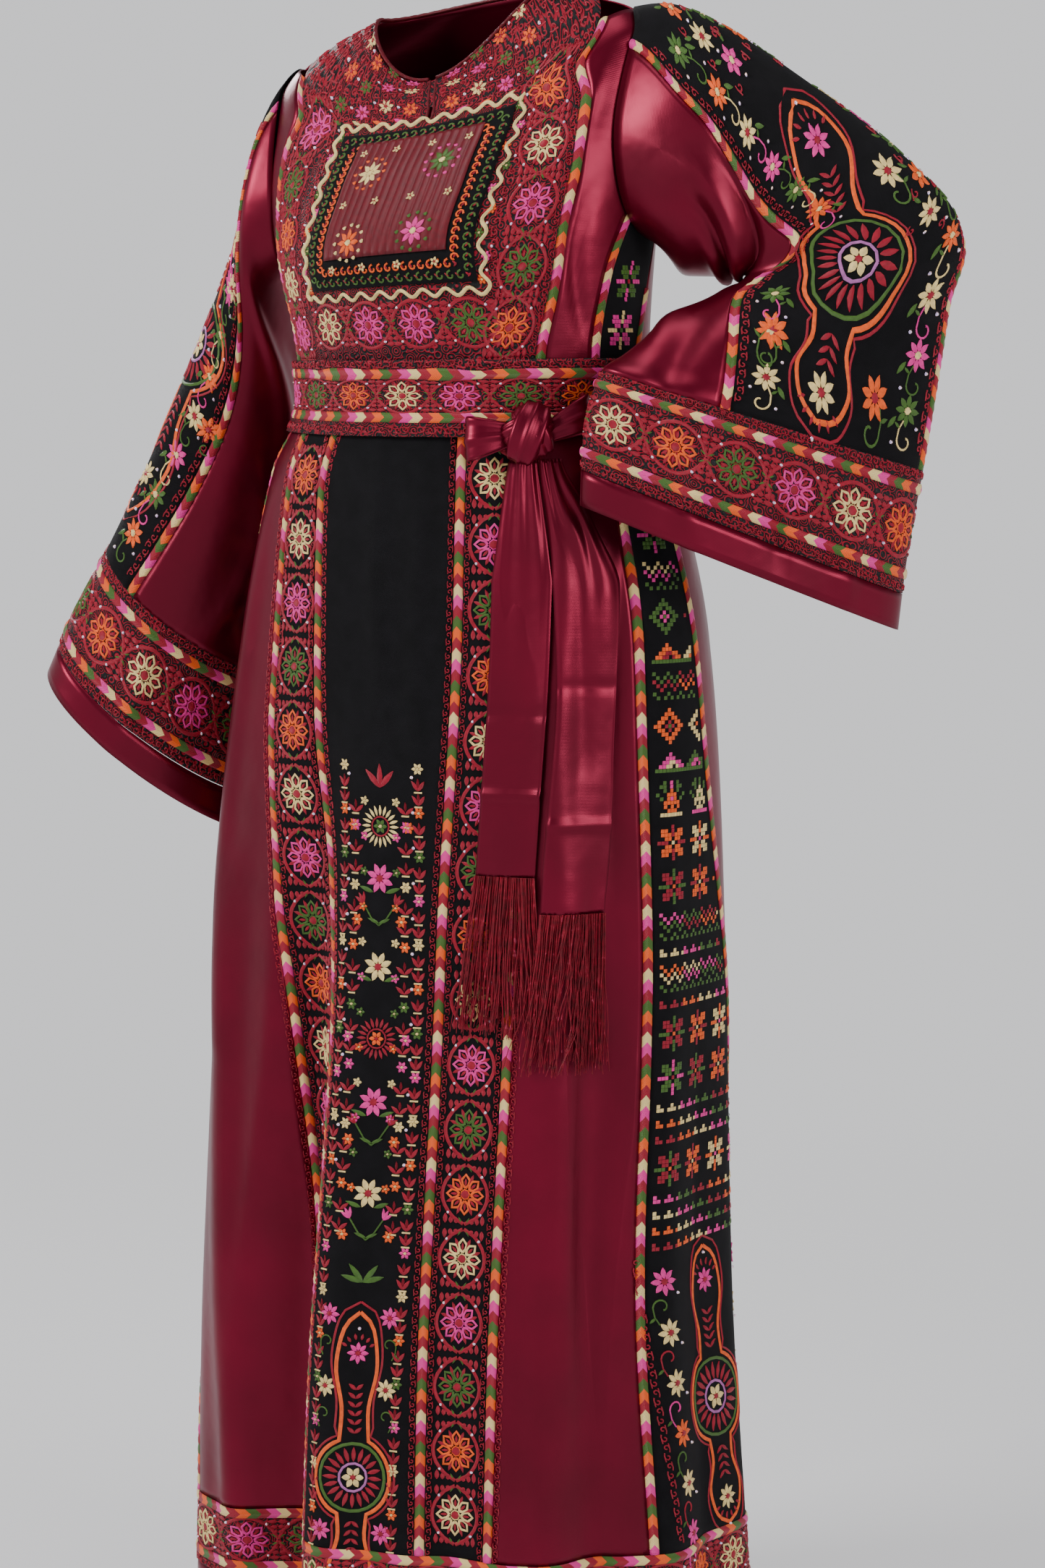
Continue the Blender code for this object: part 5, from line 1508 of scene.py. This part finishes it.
def chest():
    """The chest panel's scrolled borders and wavy cord, and the medallions round it."""
    made = Stitches()
    low, high = height_of(body, CHEST_LOW), height_of(body, CHEST_TOP)
    middle = (low + high) / 2
    for reach, thread in ((0.066, "orange"), (0.0765, "green")):
        up = (high - low) / 2 * reach / CHEST_HALF
        for a in np.arange(-0.92, 0.93, 0.115):
            for side in (-1, 1):
                scroll = Stitches()
                scroll.curl((-1.6, 3.6), (0.0040, 0.0012), 8, 0.0016, thread)
                scroll.leaf(-0.004, -0.002, 2.4, 0.004, 0.0018, "crimson")
                made.place(scroll, side * reach, middle + a * up, math.pi / 2 * side)
                made.place(scroll, a * reach, middle + side * up, 0.0 if side > 0 else math.pi)
    middle_front = along_seams(BODICE_SEAMS, "middle")
    sew("chest_scrolls", body, made, CLOTH + OVERLAY + CHEST_THICK, middle_front)
    made = Stitches()
    wave = np.linspace(0, 1, 90)
    reach, up = 0.0895, (high - low) / 2 + 0.0075
    for side in (-1, 1):
        y = middle - up + 2 * up * wave
        x = side * (reach + 0.0030 * np.sin(wave * 2 * math.pi * 8))
        made.strip(np.stack([x, y], 1), 0.0032, "cream", WAVE_RISE)
        scroll_line(made, side * 0.0995, middle - up - 0.008, height_of(body, SCROLL_TOP), side)
        for k in range(9):
            spot = side * (reach - 0.0030 * math.cos(k * math.pi)), middle - up + 2 * up * (k + 0.5) / 9
            made.flower(*spot, 0.0042, 6, ["orange", "pink", "green"][k % 3], "cream")
            made.gem(spot[0] + side * 0.0052, spot[1] + 0.007, 0.0013)
    x = reach * (2 * wave - 1)
    for way in (-1, 1):
        y = middle + way * up + 0.0030 * np.sin(wave * 2 * math.pi * 9)
        made.strip(np.stack([x, y], 1), 0.0032, "cream", WAVE_RISE)
    for k in range(4):
        y = height_of(body, -0.2745)
        kind = ["cream", "pink", "pink", "green"][k]
        made.place(MEDALLIONS[kind], (k - 1.5) * BODICE_PITCH, y, math.pi / 2, BODICE_SCALE)
    sew("bodice_stitches", body, made, CLOTH, middle_front)
    for side, name, first in ((-1, "right", 2), (1, "left", 0)):
        made = Stitches()
        for k in range(6):
            y = height_of(body, -0.072) - k * BODICE_PITCH
            made.place(medallion_at(k + first), -side * 0.0305, y, 0.0, BODICE_SCALE)
        low, high = height_of(body, -0.300), height_of(body, SCROLL_TOP)
        scroll_line(made, -side * 0.0075, low, high, side, 0.7)
        sew(f"bodice_column_{name}", body, made, CLOTH, along_seams(BODICE_SEAMS, f"{name}_braid"))
    bodice_ground()
    made = Stitches()
    for x, y, colour, around in (
        (0.034, 0.030, "green", "pink"),
        (0.030, -0.030, "pink", "green"),
        (-0.032, -0.034, "orange", "cream"),
        (-0.034, 0.028, "cream", "orange"),
    ):
        made.flower(x, middle + y, 0.0110, 8, colour, "cream")
        for k in range(12):
            angle = k * math.pi / 6
            made.disc(x + 0.0145 * math.cos(angle), middle + y + 0.0145 * math.sin(angle), 0.0016, around)
    for x in (-0.05, -0.017, 0.017, 0.05):
        for y in (-0.055, 0.0, 0.05):
            made.flower(x, middle + y, 0.0038, 5, "cream", "crimson")
    out = CLOTH + 2 * OVERLAY + CHEST_THICK + RIB_BASE + RIB_RAISED * 0.6
    sew("chest_flowers", body, made, out, middle_front)


def shoulder_lines(side):
    """Lays x from the bodice's middle and y as height up a line beside the neck."""
    rows = steps_between(WAIST, -0.002, ROW_STEP)
    beside = BODICE_SEAMS.read("middle", rows) + side * 0.075
    line_points = body.at(rows, body.column_at(rows, beside))[0]
    run = run_along(line_points)

    def place(x, y):
        levels = np.interp(y, run, rows)
        return levels, body.column_at(levels, BODICE_SEAMS.read("middle", levels) + side * x)

    return place, float(np.interp(CHEST_TOP, rows, run)), float(run[-1])


def bodice_ground():
    """Crimson scrolls, small flowers and stones that fill the black cloth above the chest panel."""
    for side, name in ((-1, "right"), (1, "left")):
        made = Stitches()
        place, low, high = shoulder_lines(side)
        for r in range(int((high - low - 0.010) / GROUND_STEP)):
            y = low + 0.016 + r * GROUND_STEP
            level = float(place(np.zeros(1), np.array([y]))[0][0])
            limit = abs(float(BODICE_SEAMS.read(f"{name}_braid", level) - BODICE_SEAMS.read("middle", level)))
            for k in range(17):
                x = 0.012 + k * GROUND_STEP
                if x < (limit - 0.011 if level > -0.046 else min(limit - 0.011, 0.099)):
                    made.place(SCROLL, x, y, (k + r) % 4 * math.pi / 2)
        for k, colour in enumerate(("pink", "orange", "cream", "green")):
            for r in range(3):
                y = low + 0.024 + r * 0.026 + 0.006 * (k % 2)
                made.flower(0.020 + 0.025 * k, y, 0.0078, 7, MEDALLION_ORDER[(k + r) % 4], "crimson", 0.3)
                made.gem(0.032 + 0.025 * k, y + 0.004)
            made.leaf(0.026 + 0.022 * k, low + 0.012, 0.3, 0.010, 0.004, colour)
        sew(f"bodice_ground_{name}", body, made, CLOTH, place)


def ribs():
    """The ribbed crimson square of the chest panel."""
    rows = steps_between(CHEST_LOW + 0.026, CHEST_TOP - 0.016, 0.004)
    share = np.linspace(-1, 1, RIBS * 8 + 1)
    across = BODICE_SEAMS.read("middle", rows)[:, None] + RIBS_HALF * share
    levels = np.broadcast_to(rows[:, None], across.shape)
    columns = body.column_at(levels, across)
    points, normals = body.at(levels, columns)
    rise = RIB_BASE + RIB_RAISED * np.abs(np.sin(share * RIBS * math.pi / 2)) ** 0.7
    out = CLOTH + 2 * OVERLAY + CHEST_THICK
    uv = np.stack([across, body.height_at(levels)], -1)
    data = shell("chest_ribs", points + normals * (out + rise)[None, :, None], points + normals * out, uv)
    add_piece(data, "chest_ribs", rib_silk, ["chest_ribs"])


# Each sleeve's motif: its circle's t and distance from the top edge, its angle and lean, its lobes' lengths.
SLEEVE_MOTIF = {
    "left": (0.50, 0.116, -0.12, -0.050, 0.140, 0.104),
    "right": (0.40, 0.0, 0.0, 0.0, 0.135, 0.170),
}
# The part of the bent sleeve, in t, where its front edge folds too sharply for flowers.
ELBOW_FOLD = 0.355, 0.53


def heart_of(colour):
    return "cream" if colour != "cream" else "crimson"


def sleeve_stitches():
    """The keyhole motif of each sleeve's black panel, with vines, flowers and scrolls at its sides."""
    for side, grid in sleeve_grids.items():
        table = SLEEVE_TABLE[side]
        at, across, angle, lean, up, down = SLEEVE_MOTIF[side]
        low, high = height_of(grid, 0.03), height_of(grid, CUFF["band"] - 0.02)

        def edge(which, table=table, grid=grid):
            return lambda x, y: (
                grid.row_at(y),
                grid.column_at(grid.row_at(y), table.read(which, grid.row_at(y)) + x),
            )

        for which, way in (("panel_front", -1), ("panel_back", 1)):
            made = Stitches()
            scroll_line(made, way * 0.0095, low, high, way)
            for k in range(int((high - low) / 0.042)):
                y = low + (k + 0.6) * 0.042
                if side == "left" and way < 0 and ELBOW_FOLD[0] < grid.row_at(y) < ELBOW_FOLD[1]:
                    continue
                colour = MEDALLION_ORDER[(k + way) % 4]
                made.flower(way * 0.030, y, FLOWER, 8, colour, heart_of(colour))
                made.place(vine(["green", "cream", "pink"][k % 3], way), way * 0.028, y + 0.023)
                made.leaf(way * 0.041, y + 0.006, math.pi / 2 - way * 0.6, 0.012, 0.0044, "green")
                made.gem(way * 0.0175, y + 0.012)
                made.gem(way * 0.042, y + 0.026)
            sew(f"sleeve_side_{which}_{side}", grid, made, CLOTH, edge(which))
        made = Stitches()
        made.place(keyhole(0.044, up, down), 0, 0, math.pi)
        for y, colour in ((-0.070, "cream"), (0.066, "orange")):
            for way in (-1,) if side == "left" and y < 0 else (-1, 1):
                made.flower(way * 0.046, y, FLOWER, 8, colour, "crimson")
                made.place(vine("green", way), way * 0.048, y + 0.018)
        patch = flat_patch(grid, at, across, angle, lean)
        sew(f"sleeve_motif_{side}", grid, made, CLOTH, patch)
        outline = grid.at(*patch(np.zeros(19), np.linspace(-up, down, 19)))[0]
        fill = sleeve_fill(grid, table, outline, low, high)
        if fill.count:
            sew(f"sleeve_fill_{side}", grid, fill, CLOTH, edge("panel_front"))
        level = (CUFF["upper"][1] + CUFF["lower"][0]) / 2
        scrolls = CUFF["band"] + 0.006, CUFF["border"] - 0.005
        ring_band(f"cuff_stitches_{side}", grid, level, CLOTH, 0.98, 2, scrolls)


def sleeve_fill(grid, table, outline, low, high):
    """Flowers, leaf sprays and curls over the panel, clear of the motif and of the edges' own rows."""
    made = Stitches()
    for r in range(int((high - low) / 0.031)):
        y = low + (r + 0.5) * 0.031
        row = float(grid.row_at(y))
        wide = float(table.read("panel_front", row) - table.read("panel_back", row))
        count = int((wide - 0.090) / 0.034)
        for k in range(count):
            x = -0.045 - (k + 0.5) * (wide - 0.090) / count
            column = grid.column_at(row, float(table.read("panel_front", row)) + x)
            spot = grid.at(row, column)[0]
            if np.linalg.norm(outline - spot, axis=1).min() < 0.054:
                continue
            colour = MEDALLION_ORDER[(r + 2 * k) % 4]
            made.flower(x, y, FLOWER, 8 if (r + k) % 2 else 6, colour, heart_of(colour))
            for way in (-1, 1):
                made.leaf(x + way * 0.011, y - 0.010, -math.pi / 2 + way * 0.9, 0.010, 0.0040, "green")
                made.place(SCROLL, x + way * 0.0155, y + 0.0125, way * math.pi / 2, 1.25)
            made.gem(x, y + 0.0165)
    return made


def sash_strip(name, points, across, out, width, bulge, ripples, replaces):
    """A length of satin along a path: rounded across its width, with lengthwise folds in it."""
    share = np.linspace(-1, 1, 17)
    rounded = np.sqrt(np.clip(1 - share**2, 0.02, 1))
    folds = sum(depth * np.cos(share * count * math.pi + phase) for count, depth, phase in ripples)
    wide = points[:, None] + across[:, None] * (width[:, None] * share)[..., None]
    rise = bulge[:, None] * (rounded + folds)
    outer = wide + out[:, None] * (rise + 0.0009)[..., None]
    along = run_along(points)
    uv = np.stack(np.broadcast_arrays(share * float(width.max()), along[:, None]), -1)
    data = shell(name, outer, wide + out[:, None] * rise[..., None], uv)
    made = add_piece(data, name, satin, replaces)
    flat = (float(width.max()) * 2, float(along[-1]))
    return made, flat


def sash_place(level, across, out):
    """Points moved out from the body, with the directions along, up and out there."""
    level, across, out = np.broadcast_arrays(np.asarray(level, float), across, out)
    points, normals = body.at(level, body.column_at(level, across))
    along = unit(np.cross([0, 0, 1], normals))
    return points + normals * out[..., None], along, unit(np.cross(normals, along)), normals


def sash_tails():
    """Two flat tails with a cross fold where each was pressed, and a silky fringe along each edge."""
    for number, tail in enumerate(TAILS, 1):
        rows = np.linspace(tail["low"], TAIL_TOP, 110)
        half_width = tail["half"] * np.interp(rows, [TAIL_TOP - 0.10, TAIL_TOP], [1.0, tail["pinch"]])
        across = tail["place"].read("across", rows)
        share = np.linspace(-1, 1, 19)
        levels = np.broadcast_to(rows[:, None], (110, 19))
        columns = body.column_at(levels, across[:, None] + half_width[:, None] * share)
        points, normals = body.at(levels, columns)
        pleat = ramp(rows, TAIL_TOP - 0.20, TAIL_TOP)[:, None]
        fall = 0.0026 * (0.5 + 0.5 * np.cos(share * 3.1 * math.pi + 0.8)) * pleat
        sway = 0.0012 * (1 + np.sin(share * 2.4 + rows[:, None] * 15 + number))
        height = rows - tail["low"]
        press = sum(rise * np.exp(-(((height - up) / 0.004) ** 2)) for up, rise in tail["creases"])
        out = tail["out"] + fall + sway + press[:, None]
        outer = points + normals * (out + 0.0010)[..., None]
        uv = np.stack([np.broadcast_to(share * tail["half"], out.shape), body.height_at(levels)], -1)
        data = shell(f"sash_tail_{number}", outer, points + normals * out[..., None], uv)
        made = add_piece(data, f"sash_tail_{number}", satin, [f"sash_tail_{number}"])
        fringe(number, tail)


def fringe(number, tail):
    """Fine strands of twisted silk that wander a little and end unevenly."""
    chance = random.Random(number)
    count, steps = 150, 9
    share = np.linspace(-1, 1, count)
    drop = np.linspace(0, 1, steps)
    length = np.array([FRINGE_LENGTH * (0.86 + 0.14 * chance.random()) for _ in share])
    lean = np.array([chance.gauss(0, 0.006) for _ in share])
    wave = np.array([chance.uniform(0.0008, 0.0026) for _ in share])
    phase = np.array([chance.uniform(0, 6.28) for _ in share])
    out = tail["out"] + np.array([chance.uniform(0.0, 0.005) for _ in share])
    levels = tail["low"] - length[:, None] * drop
    across = float(tail["place"].read("across", tail["low"]))
    across = across + share[:, None] * (tail["half"] + tail["spread"] * drop)
    across = across + lean[:, None] * drop**1.5 + wave[:, None] * np.sin(drop * 11 + phase[:, None]) * drop
    points, normals = body.at(levels, body.column_at(levels, across))
    line = points + normals * (out[:, None] + 0.0008 * np.sin(drop * 9 + phase[:, None]))[..., None]
    aside = unit(np.cross([0, 0, 1], normals))
    thick = 0.00055 * np.interp(drop, [0, 1], [1.0, 0.7])
    ring = []
    for turn in (0.5, 2.6, 4.7):
        ring.append(line + (aside * math.cos(turn) + normals * math.sin(turn)) * thick[:, None])
    points = np.stack(ring, 2).reshape(-1, 3)
    start = (np.arange(count)[:, None] * steps + np.arange(steps - 1)).reshape(-1, 1) * 3
    faces = np.concatenate([start + [a, (a + 1) % 3, (a + 1) % 3 + 3, a + 3] for a in range(3)])
    name = f"sash_fringe_{number}"
    add_piece(mesh_of(name, points, faces.tolist()), name, silk, [name])


# The knot's wraps: the lean of each, its shift aside and its size.
WRAPS = [(0.35, 0.000, 1.0), (-0.5, 0.004, 0.86), (1.25, -0.003, 0.8)]


def sash_bow():
    """The knot of wrapped satin and the two short loops beside it."""
    knot, loops = [], []
    turn = np.linspace(-1.25, 1.25, 15)
    centre, along, up, out = sash_place(KNOT["level"], KNOT["across"], KNOT["out"] - 0.004)
    for number, (lean, shift, size) in enumerate(WRAPS):
        way = up * math.cos(lean) + along * math.sin(lean)
        side = along * math.cos(lean) - up * math.sin(lean)
        lengthwise, rise = 0.023 * size * np.sin(turn), 0.013 * size * np.cos(turn)
        path = centre + side * shift + way * lengthwise[:, None] + out * (rise + 0.001 * number)[:, None]
        around = unit(np.gradient(path, axis=0))
        away = unit(np.cross(np.broadcast_to(side, around.shape), around))
        away = away * np.sign((away @ out).sum() or 1)
        width = 0.0150 * size * (0.62 + 0.38 * np.cos(turn))
        name = f"knot_wrap_{number + 1}"
        ripples = [(2.5, 0.16, 0.3 + number), (5.0, 0.08, 0.9)]
        sides, bulge = np.broadcast_to(side, around.shape), np.full(15, 0.006 * size)
        stands_for = ["sash_knot"] if number == 0 else ()
        knot.append(sash_strip(name, path, sides, away, width, bulge, ripples, stands_for))
    for name, reach, lift, low, high in LOOPS:
        spots = np.linspace(0, 2 * math.pi, 41)
        run = (1 - np.cos(spots)) / 2
        path = centre + along * (math.copysign(0.012, reach) + reach * run)[:, None]
        swell = np.sin(spots) * 0.008 * (0.35 + 0.65 * run) - 0.001
        path = path + out * swell[:, None] + up * (lift * run)[:, None]
        tangent = unit(np.gradient(path, axis=0))
        away = unit(np.cross(tangent, np.broadcast_to(up, tangent.shape))) * math.copysign(1, reach)
        ripples = [(2.0, 0.30, 0.5), (4.0, 0.14, 1.4)]
        ups, bulge = np.broadcast_to(up, tangent.shape), np.full(41, 0.0022)
        loops.append(sash_strip(name, path, ups, away, low + (high - low) * run, bulge, ripples, [name]))


SCROLL = scroll_unit()
MEDALLIONS = {colour: medallion(colour) for colour in MEDALLION_ORDER}

skirt()
bodice()
neck_cord()
sleeves()
hem()
belt()
upright_braids()
skirt_bands()
centre_front()
for panel_side in SIDES:
    cross_stitch(f"side_cross_stitch_{panel_side}", panel_side)
    side_motif(panel_side)
chest()
ribs()
sleeve_stitches()
sash_tails()
sash_bow()
belt_middle = (BELT["low_braid"] + BELT["high_braid"]) / 2
belt_scrolls = BELT["high"] - 0.0036, BELT["low"] + 0.0055
ring_band("belt_stitches", body, belt_middle, BELT["out"] + CLOTH, 0.66, 1, belt_scrolls, 1.36)
hem_middle = (HEM_BRAID_TOP + HEM_BRAID_LOW) / 2
ring_band("hem_stitches", body, hem_middle, CLOTH, 0.86, 0, [HEM_BRAID_LOW - 0.0085], 1.15)
stage()
